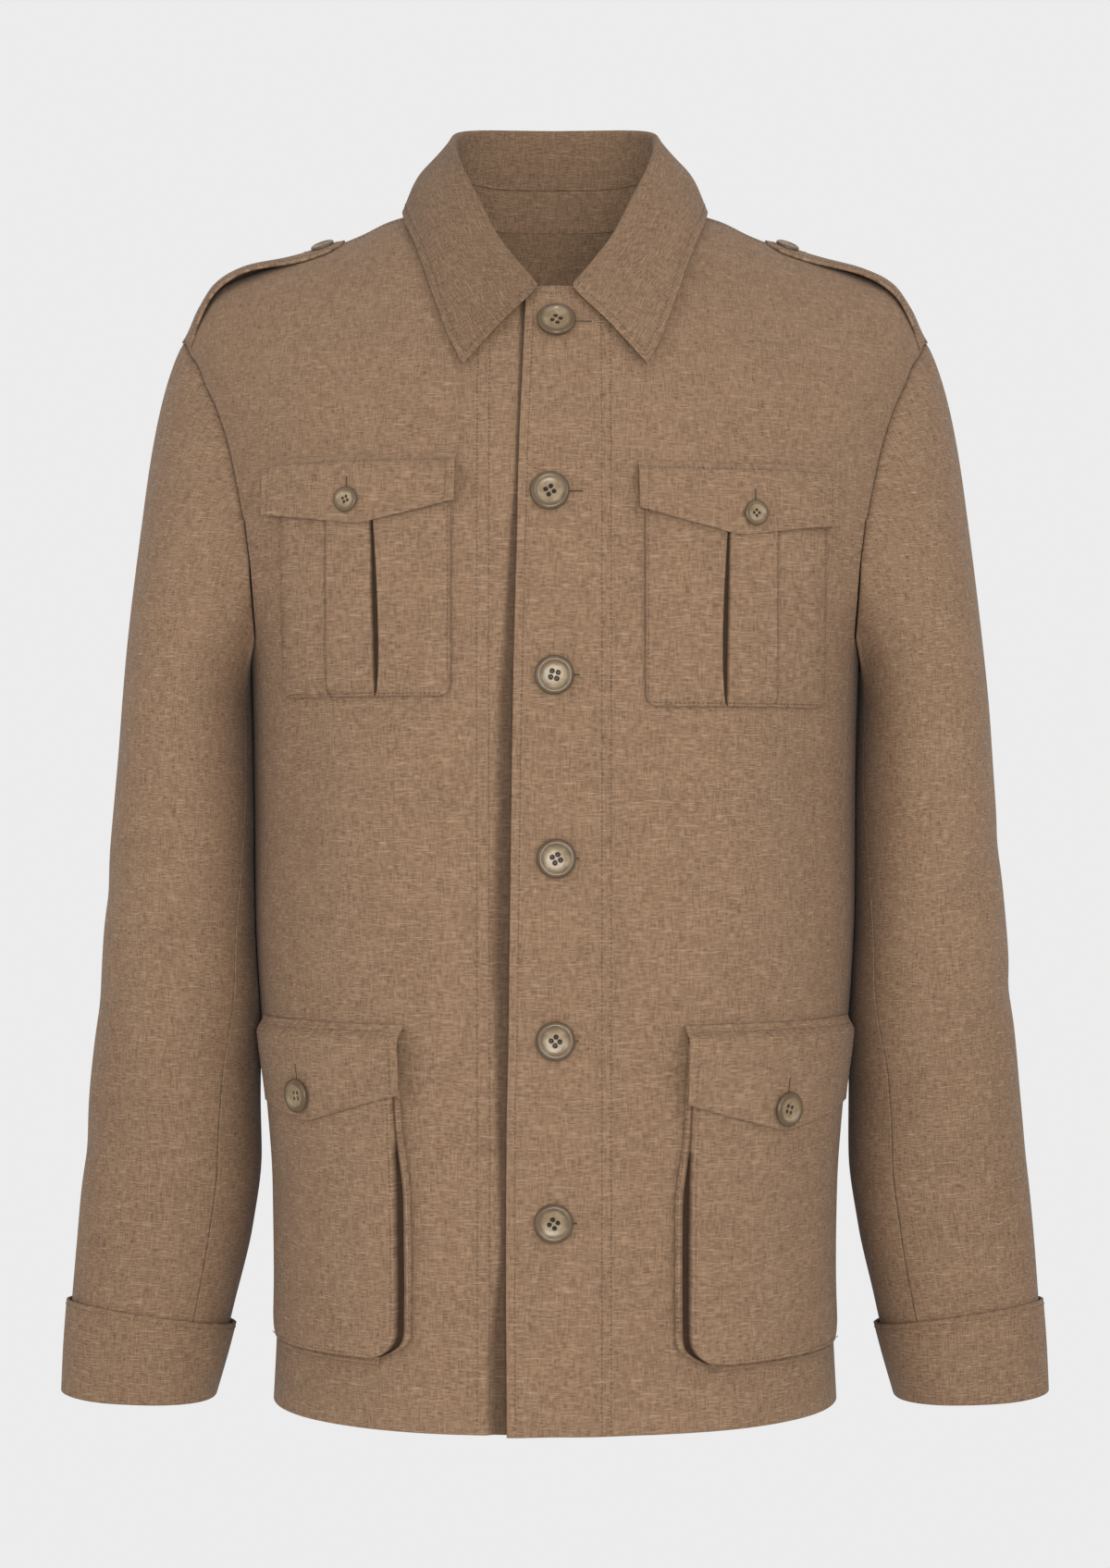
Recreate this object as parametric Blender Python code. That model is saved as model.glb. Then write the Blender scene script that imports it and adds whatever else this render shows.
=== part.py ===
# A safari jacket, filled out as if worn. Metres, +Z up, the front faces -Y.
# The origin lies between the shoulder points, at the level of the neck.
# The wearer's left side is at +X. Each cut piece is a thin closed wall.
import math
import bmesh
import bpy
import numpy as np

for item in list(bpy.data.objects):
    bpy.data.objects.remove(item, do_unlink=True)

# driving dimensions
CLOTH = 0.0018          # wall of one layer of cloth with its seam allowances
GAP = 0.0003            # between two pieces at a seam
LAY = 0.0011            # between a piece and the panel it lies on
HEM_Z = -0.7355         # lower edge of the body
CHEST_Z = -0.200        # above this height the body rounds in to the shoulder
UNDERARM_Z = -0.287     # lowest point of the armhole
ROUND = 2.3             # fullness of the body's sections
FRONT_SLOPE = 1.65      # fullness of the front shoulder, seen from the side
BACK_SLOPE = 1.9
SIDE_RATIO = 0.942      # the side seams, as a share of the half width
SIDE_SEAM = math.degrees(math.asin(SIDE_RATIO ** (ROUND / 2)))
LAP_LIFT = 0.0024       # the upper front edge over the lower one
CUFF_HEIGHT = 0.050
FRONT_BUTTON = 0.023
CHEST_BUTTON = 0.015
POCKET_BUTTON = 0.0205
STRAP_BUTTON = 0.015
PROUD = 0.0068          # how far a bellows pocket stands off
SLEEVE_GAP = 0.0005     # from each sleeve piece to the middle of its seam
STRAP_START = 0.1300    # distance of the strap's point from the middle
STRAP_AHEAD = 0.004     # the strap lies this far in front of the ridge
CORNER = 0.009          # lower corners of the chest pockets
BELLOWS_CORNER = 0.018  # lower corners of the bellows pockets

# the body's sections: height, half width, front depth, back depth
BODY = np.array([
    (-0.740, 0.1745, 0.1450, 0.1210),
    (-0.690, 0.1722, 0.1460, 0.1205),
    (-0.650, 0.1712, 0.1470, 0.1200),
    (-0.600, 0.1718, 0.1480, 0.1195),
    (-0.550, 0.1742, 0.1490, 0.1190),
    (-0.500, 0.1778, 0.1495, 0.1185),
    (-0.440, 0.1838, 0.1500, 0.1185),
    (-0.330, 0.1855, 0.1520, 0.1220),
    (-0.290, 0.1870, 0.1525, 0.1240),
    (-0.268, 0.1920, 0.1525, 0.1250),
    (-0.230, 0.2055, 0.1520, 0.1260),
    (-0.200, 0.2105, 0.1510, 0.1265),
    (-0.159, 0.2160, 0.1500, 0.1265),
    (-0.130, 0.2225, 0.1500, 0.1265),
    (-0.105, 0.2290, 0.1500, 0.1265),
    (-0.083, 0.2370, 0.1500, 0.1265),
    (0.030, 0.2620, 0.1500, 0.1265),
])

# the shoulder ridge seen from the front: distance from the middle, height
RIDGE = np.array([
    (0.000, 0.0120),
    (0.050, 0.0060),
    (0.075, 0.0000),
    (0.102, -0.0070),
    (0.120, -0.0157),
    (0.140, -0.0236),
    (0.167, -0.0325),
    (0.191, -0.0410),
    (0.2077, -0.0485),
    (0.2185, -0.0615),
    (0.2275, -0.0775),
    (0.2325, -0.0850),
    (0.2450, -0.1080),
])

# the armhole seam: run over the shoulder (0 on the ridge, 1 at chest height), half width
ARMHOLE = np.array([
    (0.000, 0.2325),
    (0.325, 0.2250),
    (0.480, 0.2173),
    (0.550, 0.2135),
    (0.659, 0.2047),
    (0.786, 0.1958),
    (0.908, 0.1895),
    (1.000, 0.1855),
    (1.030, 0.1822),
    (1.068, 0.1809),
])

# rows up a front: run at the inner end, run at the side, and whether the inner end
# is on the neck seam (1) or on the centre edge (0)
FRONT_ROWS = np.array([
    (1.068, 1.068, 0),
    (1.030, 1.030, 0),
    (1.000, 1.000, 0),
    (0.908, 0.908, 0),
    (0.800, 0.800, 0),
    (0.700, 0.690, 0),
    (0.600, 0.600, 0),
    (0.507, 0.530, 0),
    (0.504, 0.470, 1),
    (0.478, 0.410, 1),
    (0.420, 0.350, 1),
    (0.340, 0.285, 1),
    (0.250, 0.220, 1),
    (0.170, 0.160, 1),
    (0.093, 0.093, 1),
])
FRONT_SHARES = np.array([0.0, 0.14, 0.28, 0.43, 0.58, 0.73, 0.88, 1.0])
SHOULDER_SEAM = 0.093

# heights of the rows below the armhole
LOW_ROWS = np.array([-0.7355, -0.690, -0.640, -0.590, -0.540, -0.490, -0.440, -0.390, -0.345, -0.303])

# the sleeve's sections: height, outer side, inner side, front, back,
# then where the front and the back seam lie in degrees from the outer side
SLEEVE = np.array([
    (-0.315, 0.2675, 0.1890, -0.0900, 0.0860, 160.0, 156.0),
    (-0.353, 0.2705, 0.1890, -0.0870, 0.0830, 158.0, 152.0),
    (-0.399, 0.2745, 0.1888, -0.0830, 0.0760, 150.0, 146.0),
    (-0.445, 0.2785, 0.1882, -0.0790, 0.0700, 143.0, 140.0),
    (-0.491, 0.2820, 0.1874, -0.0755, 0.0640, 136.0, 135.0),
    (-0.537, 0.2865, 0.1864, -0.0730, 0.0580, 127.0, 132.0),
    (-0.583, 0.2905, 0.1845, -0.0710, 0.0520, 124.0, 130.0),
    (-0.629, 0.2945, 0.1885, -0.0690, 0.0460, 124.0, 130.0),
    (-0.675, 0.2980, 0.1985, -0.0670, 0.0400, 125.0, 130.0),
    (-0.732, 0.3015, 0.2120, -0.0660, 0.0320, 126.0, 130.0),
])
CAP_STEPS = np.array([0.0, 0.10, 0.26, 0.48, 0.74])
SLEEVE_ROWS = np.array([-0.315, -0.370, -0.425, -0.480, -0.540, -0.605, -0.675, -0.7318])
SLEEVE_TILT = 0.045     # the cuff's edge drops towards the body by this slope

# the largest folds on the body: side, x, height, lean in degrees, length, width, depth
BODY_FOLDS = np.array([
    (-1, -0.040, -0.560, 2.0, 0.150, 0.011, -0.0022),
    (-1, -0.150, -0.352, 24.0, 0.050, 0.020, -0.0020),
    (-1, -0.120, -0.400, -12.0, 0.060, 0.020, 0.0020),
    (1, 0.152, -0.352, -22.0, 0.050, 0.020, -0.0020),
    (1, 0.110, -0.390, 10.0, 0.060, 0.022, 0.0020),
    (1, 0.050, -0.640, -4.0, 0.080, 0.020, 0.0015),
])

# the largest folds on the sleeves: side, degrees round, height, lean, length, width, depth
SLEEVE_FOLDS = np.array([
    (-1, 60.0, -0.400, 58.0, 0.050, 0.013, -0.0028),
    (-1, 75.0, -0.465, 62.0, 0.050, 0.012, -0.0030),
    (-1, 40.0, -0.560, 50.0, 0.050, 0.015, -0.0024),
    (-1, 230.0, -0.430, -60.0, 0.050, 0.014, -0.0028),
    (1, 65.0, -0.420, -58.0, 0.050, 0.013, -0.0028),
    (1, 50.0, -0.500, -62.0, 0.050, 0.013, -0.0026),
    (1, 80.0, -0.590, -50.0, 0.045, 0.014, -0.0024),
    (1, 230.0, -0.460, 60.0, 0.050, 0.014, -0.0028),
])

# half of the collar, from the back middle to the front end: place, seam distance from the
# middle, seam run, then the fold's x, y, z, the stand's share, the edge's x, run and lift
COLLAR = np.array([
    (0.00, 0.0000, -0.258, 0.0000, 0.0540, 0.0600, 0.40, 0.0000, -0.334, 0.0036),
    (0.20, 0.0330, -0.232, 0.0360, 0.0465, 0.0590, 0.40, 0.0460, -0.300, 0.0036),
    (0.35, 0.0560, -0.165, 0.0560, 0.0280, 0.0550, 0.41, 0.0760, -0.215, 0.0036),
    (0.48, 0.0715, -0.070, 0.0635, 0.0050, 0.0475, 0.43, 0.0920, -0.070, 0.0036),
    (0.56, 0.0757, 0.030, 0.0632, -0.0130, 0.0385, 0.44, 0.0938, 0.060, 0.0036),
    (0.64, 0.0735, 0.160, 0.0590, -0.0340, 0.0240, 0.45, 0.0918, 0.195, 0.0036),
    (0.74, 0.0650, 0.315, 0.0480, -0.0590, 0.0000, 0.46, 0.0840, 0.335, 0.0040),
    (0.84, 0.0510, 0.420, 0.0340, -0.0800, -0.0285, 0.47, 0.0752, 0.462, 0.0044),
    (0.93, 0.0310, 0.484, 0.0210, -0.0945, -0.0470, 0.38, 0.0630, 0.590, 0.0048),
    (1.00, 0.0145, 0.504, 0.0120, -0.1045, -0.0560, 0.28, 0.0525, 0.662, 0.0050),
])


def smooth(xs, ys, at):
    """Value at each place of a monotone cubic through the rows (xs, ys)."""
    step = np.diff(xs)
    slope = np.diff(ys) / step
    tangent = np.zeros(len(xs))
    tangent[0] = slope[0]
    tangent[-1] = slope[-1]
    same = slope[:-1] * slope[1:] > 0
    first = (2 * step[1:] + step[:-1])[same]
    second = (step[1:] + 2 * step[:-1])[same]
    tangent[1:-1][same] = (first + second) / (first / slope[:-1][same] + second / slope[1:][same])
    place = np.clip(np.searchsorted(xs, at) - 1, 0, len(xs) - 2)
    s = np.clip((at - xs[place]) / step[place], 0.0, 1.0)
    start = (1 + 2 * s) * (1 - s) ** 2 * ys[place] + s * (1 - s) ** 2 * step[place] * tangent[place]
    end = s * s * (3 - 2 * s) * ys[place + 1] + s * s * (s - 1) * step[place] * tangent[place + 1]
    return start + end


def step_up(low, high, at):
    """Smooth step from 0 at low to 1 at high."""
    s = np.clip((at - low) / (high - low), 0.0, 1.0)
    return s * s * (3 - 2 * s)


def body_size(column, z):
    return smooth(BODY[:, 0], BODY[:, column], z)


def ridge_height(x):
    return smooth(RIDGE[:, 0], RIDGE[:, 1], np.abs(x))


def body_xyz(x, run):
    """Point of the bare body over the distance x and the run over the shoulder.
    The run is 0 on the ridge, 1 at chest height in front and -1 behind, and metres below that."""
    x, run = np.broadcast_arrays(np.asarray(x, float), np.asarray(run, float))
    turn = np.clip(np.abs(run), 0, 1) * math.pi / 2
    power = 2 / np.where(run >= 0, FRONT_SLOPE, BACK_SLOPE)
    top = ridge_height(x)
    fall = (top - CHEST_Z) * (1 - np.maximum(np.cos(turn), 0) ** power)
    z = top - fall - np.maximum(np.abs(run) - 1, 0)
    depth = np.where(run >= 0, body_size(2, z), body_size(3, z))
    share = np.minimum(np.abs(x) / body_size(1, z), 1)
    y = -np.sign(run) * depth * (1 - share ** ROUND) ** (1 / ROUND) * np.sin(turn) ** power
    return np.stack([x, y, z], -1)


def side_xyz(degrees, z):
    """Point of the bare body at an angle round from the front middle, at a height."""
    degrees, z = np.broadcast_arrays(np.asarray(degrees, float), np.asarray(z, float))
    sine = np.sin(np.radians(degrees))
    cosine = np.cos(np.radians(degrees))
    depth = np.where(cosine >= 0, body_size(2, z), body_size(3, z))
    x = body_size(1, z) * np.sign(sine) * np.abs(sine) ** (2 / ROUND)
    y = -np.sign(cosine) * depth * np.abs(cosine) ** (2 / ROUND)
    return np.stack([x, y, z], -1)


def unit(vectors):
    return vectors / np.maximum(np.linalg.norm(vectors, axis=-1, keepdims=True), 1e-12)


def folds(points):
    """Height of the largest folds at each point of the front."""
    height = np.zeros(points.shape[:-1])
    for side, x, z, lean, length, width, depth in BODY_FOLDS:
        turn = math.radians(lean)
        right = points[..., 0] - x
        up = points[..., 2] - z
        along = right * math.sin(turn) + up * math.cos(turn)
        across = right * math.cos(turn) - up * math.sin(turn)
        bump = depth * np.exp(-(across / width) ** 2 - (along / length) ** 2)
        height += np.where(points[..., 1] < -0.03, bump, 0)
    return height


def on_body(x, run, lift=0.0):
    """Points of the body lifted off it, and the outward directions there."""
    small = 1e-5
    points = body_xyz(x, run)
    along = body_xyz(x, run + small) - body_xyz(x, run - small)
    across = body_xyz(x + small, run) - body_xyz(x - small, run)
    normal = unit(np.cross(along, across))
    return points + normal * (folds(points) + lift)[..., None], normal


def on_side(degrees, z, lift=0.0):
    small = 1e-4
    points = side_xyz(degrees, z)
    around = side_xyz(degrees + small, z) - side_xyz(degrees - small, z)
    up = side_xyz(degrees, z + small) - side_xyz(degrees, z - small)
    normal = unit(np.cross(around, up))
    return points + normal * (folds(points) + lift)[..., None], normal


def run_at(x, z):
    """The run over the front shoulder at which the body over x has the height z."""
    top = ridge_height(x)
    fall = np.clip((top - z) / (top - CHEST_Z), 0, 1)
    upper = np.arccos(np.clip((1 - fall) ** (FRONT_SLOPE / 2), 0, 1)) / (math.pi / 2)
    return np.where(z < CHEST_Z, 1 + CHEST_Z - z, upper)


def arm_x(run):
    """Half width of a panel at a run: the armhole, and the side seam under it."""
    seam = SIDE_RATIO * body_size(1, CHEST_Z + 1 - np.maximum(np.abs(run), 1))
    return np.where(np.abs(run) > ARMHOLE[-1, 0], seam, smooth(ARMHOLE[:, 0], ARMHOLE[:, 1], np.abs(run)))


def material(name, colour, rough):
    made = bpy.data.materials.new(name)
    made.use_nodes = True
    shader = made.node_tree.nodes["Principled BSDF"]
    shader.inputs["Base Color"].default_value = (*colour, 1)
    shader.inputs["Roughness"].default_value = rough
    shader.inputs["Metallic"].default_value = 0
    return made


def add_object(name, points, faces, colour=(0.275, 0.185, 0.120), rough=0.85):
    mesh = bpy.data.meshes.new(name)
    mesh.from_pydata([tuple(float(v) for v in p) for p in points], [], faces)
    shape = bmesh.new()
    shape.from_mesh(mesh)
    bmesh.ops.recalc_face_normals(shape, faces=shape.faces)
    shape.to_mesh(mesh)
    shape.free()
    mesh.materials.append(material(name + "_finish", colour, rough))
    mesh.shade_smooth()
    mesh.set_sharp_from_angle(angle=math.radians(50))
    made = bpy.data.objects.new(name, mesh)
    bpy.context.scene.collection.objects.link(made)
    return made


def trim(grid, edges, gap=GAP / 2):
    """Moves the named edges of a grid of points in along the cloth, to leave a seam's gap."""
    grid = grid.copy()
    rows = {"bottom": (0, 1), "top": (-1, -2)}
    for edge in edges:
        if edge in rows:
            here, next_in = rows[edge]
            grid[here] += gap * unit(grid[next_in] - grid[here])
        else:
            here, next_in = (0, 1) if edge == "left" else (-1, -2)
            grid[:, here] += gap * unit(grid[:, next_in] - grid[:, here])
    return grid


def wall(name, outer, normal, thick=CLOTH, closed=False, edges=(), inner=None, gap=GAP / 2):
    """A closed wall of cloth: the outer points, the same points moved in, and the edges between."""
    if inner is None:
        inner = outer - normal * (np.asarray(thick)[..., None] if np.ndim(thick) else thick)
    outer, inner = trim(outer, edges, gap), trim(inner, edges, gap)
    rows, columns = outer.shape[:2]
    points = np.concatenate([outer.reshape(-1, 3), inner.reshape(-1, 3)])
    number = np.arange(rows * columns).reshape(rows, columns)
    back = number + rows * columns
    across = columns if closed else columns - 1
    faces = []
    for i in range(rows - 1):
        for j in range(across):
            k = (j + 1) % columns
            faces.append([number[i, j], number[i, k], number[i + 1, k], number[i + 1, j]])
            faces.append([back[i, j], back[i + 1, j], back[i + 1, k], back[i, k]])
    for j in range(across):
        k = (j + 1) % columns
        faces.append([number[0, j], back[0, j], back[0, k], number[0, k]])
        faces.append([number[-1, j], number[-1, k], back[-1, k], back[-1, j]])
    if not closed:
        for i in range(rows - 1):
            faces.append([number[i, 0], number[i + 1, 0], back[i + 1, 0], back[i, 0]])
            faces.append([number[i, -1], back[i, -1], back[i + 1, -1], number[i + 1, -1]])
    return add_object(name, points, [[int(v) for v in face] for face in faces])


def centre_edge(z, side):
    """Distance of a front's centre edge past the middle: the upper one leans a little."""
    over = 0.018 + 0.010 * (-0.063 - z) / (-0.063 - HEM_Z)
    return over if side > 0 else 0.014 + 0 * z


def lap_lift(x, side):
    """The upper front stands clear of the lower one where they lap."""
    return LAP_LIFT * (1 - step_up(0.018, 0.052, x)) if side > 0 else 0 * x


def front_rows():
    """Runs and edge distances of all rows of a front, hem first."""
    low = np.stack([1 + CHEST_Z - LOW_ROWS, 1 + CHEST_Z - LOW_ROWS, 0 * LOW_ROWS], -1)
    return np.concatenate([low, FRONT_ROWS])


def neck_x(run):
    """Distance of the neck seam from the middle, by its run over the front shoulder."""
    return smooth(COLLAR[4:, 2], COLLAR[4:, 1], run)


def build_front(name, side):
    rows = front_rows()
    share = FRONT_SHARES
    run = rows[:, :1] + (rows[:, 1:2] - rows[:, :1]) * share
    height = np.where(rows[:, 0] > 1, 1 + CHEST_Z - rows[:, 0], -0.063)
    start = np.where(rows[:, 2] > 0, neck_x(rows[:, 0]), -centre_edge(height, side))[:, None]
    end = arm_x(rows[:, 1])[:, None]
    x = start + (end - start) * share
    points, normal = on_body(side * x, run, lap_lift(x, side))
    wall(name, points, normal, edges=("right", "top"))


def build_side(name, side):
    degrees = np.linspace(SIDE_SEAM, 180 - SIDE_SEAM, 7)
    spread = (degrees - 90) / (90 - SIDE_SEAM)
    top = UNDERARM_Z + (CHEST_Z - 0.068 - UNDERARM_Z) * spread ** 2
    z = np.concatenate([np.repeat(LOW_ROWS[:, None], 7, 1), top[None]])
    points, normal = on_side(side * np.broadcast_to(degrees, z.shape), z)
    wall(name, points, normal, edges=("left", "right", "top"))
    return points[-1], normal[-1]


def neck_run(x):
    """Run of the back neck seam at a distance from the middle."""
    return smooth(COLLAR[:5, 1], COLLAR[:5, 2], np.minimum(np.abs(x), COLLAR[4, 1]))


def back_columns():
    """Each column of the back: its share of the half width, and its run at the top edge."""
    corner = float(neck_x(SHOULDER_SEAM) / arm_x(SHOULDER_SEAM))
    neck = np.array([0.0, 0.26, 0.50, 0.72, 0.88, 0.97, 0.995]) * corner
    half = np.concatenate([neck, corner + (1 - corner) * FRONT_SHARES])
    top = np.full(half.shape, SHOULDER_SEAM)
    for _ in range(30):
        top[:len(neck)] = neck_run(neck * arm_x(top[:len(neck)]))
    return half, top, len(neck)


def build_back():
    right = np.concatenate([-front_rows()[:, 1], [0.0, SHOULDER_SEAM]])
    half, top, _ = back_columns()
    share = np.concatenate([-half[:0:-1], half])
    top = np.concatenate([top[:0:-1], top])
    scale = (top + 1) / (SHOULDER_SEAM + 1)
    run = np.where(right[:, None] > -1, -1 + (right[:, None] + 1) * scale, right[:, None])
    x = share[None] * arm_x(run)
    points, normal = on_body(x, run)
    wall("back", points, normal, edges=("left", "right", "top"))


def sleeve_ring(z, degrees):
    """Point of the bare sleeve at a height and an angle from its outer side, the front at 90."""
    outer, inner, front, back = [smooth(-SLEEVE[:, 0], SLEEVE[:, c], -z) for c in (1, 2, 3, 4)]
    cosine = np.cos(np.radians(degrees))
    sine = np.sin(np.radians(degrees))
    x = (outer + inner) / 2 + (outer - inner) / 2 * np.sign(cosine) * np.abs(cosine) ** 0.92
    y = (front + back) / 2 + (front - back) / 2 * np.sign(sine) * np.abs(sine) ** 0.92
    tilt = SLEEVE_TILT * (x - (outer + inner) / 2) * step_up(0.45, 0.68, -z)
    return np.stack([x, y, z + tilt], -1)


def seam_angle(column, z):
    return smooth(-SLEEVE[:, 0], SLEEVE[:, column], -z)


def sleeve_folds(side, degrees, z):
    height = np.zeros(np.broadcast(degrees, z).shape)
    for at_side, place, level, lean, length, width, depth in SLEEVE_FOLDS:
        if at_side == side:
            turn = math.radians(lean)
            right = ((degrees - place + 180) % 360 - 180) * 0.0009
            along = right * math.sin(turn) + (z - level) * math.cos(turn)
            across = right * math.cos(turn) - (z - level) * math.sin(turn)
            height = height + depth * np.exp(-(across / width) ** 2 - (along / length) ** 2)
    return height


def tube_normal(points):
    """Outward directions of a grid of rows that each close on themselves."""
    around = np.roll(points, -1, 1) - np.roll(points, 1, 1)
    return unit(np.cross(around, np.gradient(points, axis=0)))


def sleeve_surface(side, floor_points, floor_normals):
    """Rows of points and outward directions all round a sleeve, seen as if it were the left one.
    The first row lies on the armhole; the columns run back to front over the outer side."""
    mirror = np.array([side, 1, 1])
    front = front_rows()
    front = front[front[:, 1] < 1.07][::-1, 1]
    back = -front
    loop = np.concatenate([back[::-1], [0.0], front])
    arm, arm_normal = on_body(side * arm_x(loop), loop)
    arm, arm_normal = arm * mirror, arm_normal * mirror
    step = np.linalg.norm(np.diff(arm, axis=0), axis=1)
    middle = len(back)
    from_top = np.concatenate([[0], np.cumsum(step)]) - np.sum(step[:middle])
    share = np.where(from_top < 0, from_top / -from_top[0], from_top / from_top[-1])
    under = floor_points[1:-1] * mirror
    count = len(under) + 1
    spare = np.arange(1, count) / count
    ring = np.concatenate([arm, under])
    ring_normal = np.concatenate([arm_normal, floor_normals[1:-1] * mirror])

    def angles(z):
        ahead, behind = seam_angle(5, z), seam_angle(6, z)
        over = np.where(share < 0, share * behind, share * ahead)
        return np.concatenate([over, ahead + (360 - behind - ahead) * spare])

    first = np.radians(angles(SLEEVE[0, 0]))
    leave = np.stack([
        0.540 + 0.14 * np.cos(first) - 0.23 * np.cos(2 * first),
        -0.12 * np.sin(first),
        -0.75 + 0 * first], -1)
    leave[:, 2] -= 0.20 * (1 - leave[:, 0])
    leave = unit(leave)
    target = sleeve_ring(SLEEVE[0, 0], np.degrees(first))
    chord = np.linalg.norm(target - ring, axis=1)[:, None]
    arrive = unit(np.stack([0.08 * np.cos(first), 0 * first, 0 * first - 1], -1))
    rows = []
    for s in CAP_STEPS:
        rows.append((1 + 2 * s) * (1 - s) ** 2 * ring + s * (1 - s) ** 2 * 0.62 * chord * leave
                    + s * s * (3 - 2 * s) * target + s * s * (s - 1) * chord * arrive)
    for z in SLEEVE_ROWS:
        rows.append(sleeve_ring(z, angles(z)))
    points = np.stack(rows)
    heights = np.concatenate([np.full(len(CAP_STEPS), SLEEVE[0, 0]), SLEEVE_ROWS])
    turned = np.stack([angles(z) for z in heights])
    points = points + tube_normal(points) * sleeve_folds(side, turned, points[..., 2])[..., None]
    normal = tube_normal(points)
    agree = np.clip(np.sum(normal[0] * ring_normal, -1), 0, 1)[:, None]
    normal[0] = unit(agree * ring_normal + (1 - agree) * normal[0])
    points[0] += GAP * leave + (0.2 + 0.8 * (1 - agree)) * GAP * 1.8 * ring_normal
    return points, normal, middle * 2 + 1


def build_sleeve(side, word, floor_points, floor_normals):
    mirror = np.array([side, 1, 1])
    points, normal, top_count = sleeve_surface(side, floor_points, floor_normals)
    inner = points - normal * CLOTH
    pieces = {
        "sleeve_top_" + word: np.arange(top_count),
        "sleeve_under_" + word: np.concatenate([np.arange(top_count - 1, points.shape[1]), [0]]),
    }
    for name, columns in pieces.items():
        wall(name, points[:, columns] * mirror, None, edges=("left", "right"),
             inner=inner[:, columns] * mirror, gap=SLEEVE_GAP)
    build_cuff(side, "cuff_" + word, mirror)


def build_cuff(side, name, mirror):
    """The turned-back cuff: a band just outside the sleeve's end."""
    degrees = np.linspace(0, 360, 32, endpoint=False)
    low = SLEEVE_ROWS[-1] + 0.0006
    high = low + CUFF_HEIGHT
    rows = np.stack([sleeve_ring(np.full(32, z), degrees) for z in np.linspace(high, low, 3)])
    around = np.roll(rows, -1, 1) - np.roll(rows, 1, 1)
    normal = unit(np.cross(around, np.gradient(rows, axis=0)))
    outer = rows + normal * (LAY + 1.2 * CLOTH)
    inner = rows + normal * LAY
    wall(name, outer * mirror, None, closed=True, inner=inner * mirror)


def collar_at(place, column):
    return smooth(COLLAR[:, 0], COLLAR[:, column], np.abs(place))


def collar_lines(place):
    """Neck seam, stand top, fold, outer edge and outward directions at places round the collar."""
    side = np.where(place < 0, -1.0, 1.0)
    seam, seam_normal = on_body(side * collar_at(place, 1), collar_at(place, 2))
    fold = np.stack([side * collar_at(place, 3), collar_at(place, 4), collar_at(place, 5)], -1)
    out = fold * [1, 1, 0] + [0, 0.022, 0]
    out = unit(out)
    seam = seam - out * (0.0006 + CLOTH)
    share = collar_at(place, 6)[:, None]
    top = seam + (fold - out * 0.003 - seam) * share
    clear = np.where(side > 0, LAP_LIFT * (np.abs(place) > 0.8), 0)
    lift = collar_at(place, 9) + clear * 0.5
    edge, _ = on_body(side * collar_at(place, 7), collar_at(place, 8), lift)
    return seam, top, fold, edge, out


def body_front_y(x, z):
    """How far forward the bare front lies over x at the height z."""
    return body_xyz(x, run_at(x, z))[..., 1]


def collar_fall_points(place, rows):
    seam, top, fold, edge, out = collar_lines(place)
    up = np.array([0, 0, 1.0])
    start = top + unit(fold - out * 0.003 - seam) * 0.0008
    drop = np.minimum(0.0035, 0.28 * np.linalg.norm(fold - seam, axis=1))[:, None]
    inside = fold - out * 0.0030 - up * drop
    outside = fold + out * 0.0036 - up * 0.0040
    bulge = 0.0040 * np.sin(np.pi * np.clip(1 - np.abs(place), 0.0, 1) ** 0.7)[:, None]
    middle = outside + (edge - outside) * 0.5 + unit(out + up * 0.6) * (bulge + 0.0012)
    knots = np.array([0.0, 0.28, 0.36, 0.44, 0.72, 1.0])
    marks = np.stack([start, inside, fold, outside, middle, edge])
    flat = marks.reshape(6, -1)
    made = np.stack([smooth(knots, flat[:, c], rows) for c in range(flat.shape[1])], -1)
    made = made.reshape(len(rows), len(place), 3)
    lower = rows > 0.44
    front = (made[..., 1] < -0.03) & lower[:, None]
    limit = body_front_y(made[..., 0], made[..., 2]) - 0.0042 - LAP_LIFT * step_up(-0.03, 0.01, made[..., 0])
    made[..., 1] = np.where(front, np.minimum(made[..., 1], limit), made[..., 1])
    return made


def build_collar():
    half, back_top, count = back_columns()
    behind = smooth(COLLAR[:5, 1], COLLAR[:5, 0], half[:count] * arm_x(back_top[:count]))
    runs = FRONT_ROWS[FRONT_ROWS[:, 2] > 0][::-1, 0]
    place = np.concatenate([behind[:-1], smooth(COLLAR[4:, 2], COLLAR[4:, 0], runs)])
    place = np.concatenate([-place[:0:-1], place])
    seam, top, fold, edge, out = collar_lines(place)
    shares = np.array([0.0, 0.5, 1.0])[:, None, None] * (1 - 0.3 * step_up(0.80, 1.0, np.abs(place)))[:, None]
    visible = seam + (top - seam) * shares
    visible[0] += unit(top - seam) * GAP
    wall("collar_stand", visible + out * CLOTH, None, inner=visible)
    rows = np.array([0.0, 0.14, 0.28, 0.36, 0.44, 0.53, 0.64, 0.76, 0.88, 1.0])
    points = collar_fall_points(place, rows)
    small = 1e-3
    ahead = collar_fall_points(np.clip(place + small, -1, 1), rows)
    behind = collar_fall_points(np.clip(place - small, -1, 1), rows)
    later = collar_fall_points(place, np.clip(rows + small, 0, 1))
    before = collar_fall_points(place, np.clip(rows - small, 0, 1))
    normal = unit(np.cross(ahead - behind, later - before))
    wall("collar_fall", points, normal)


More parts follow.
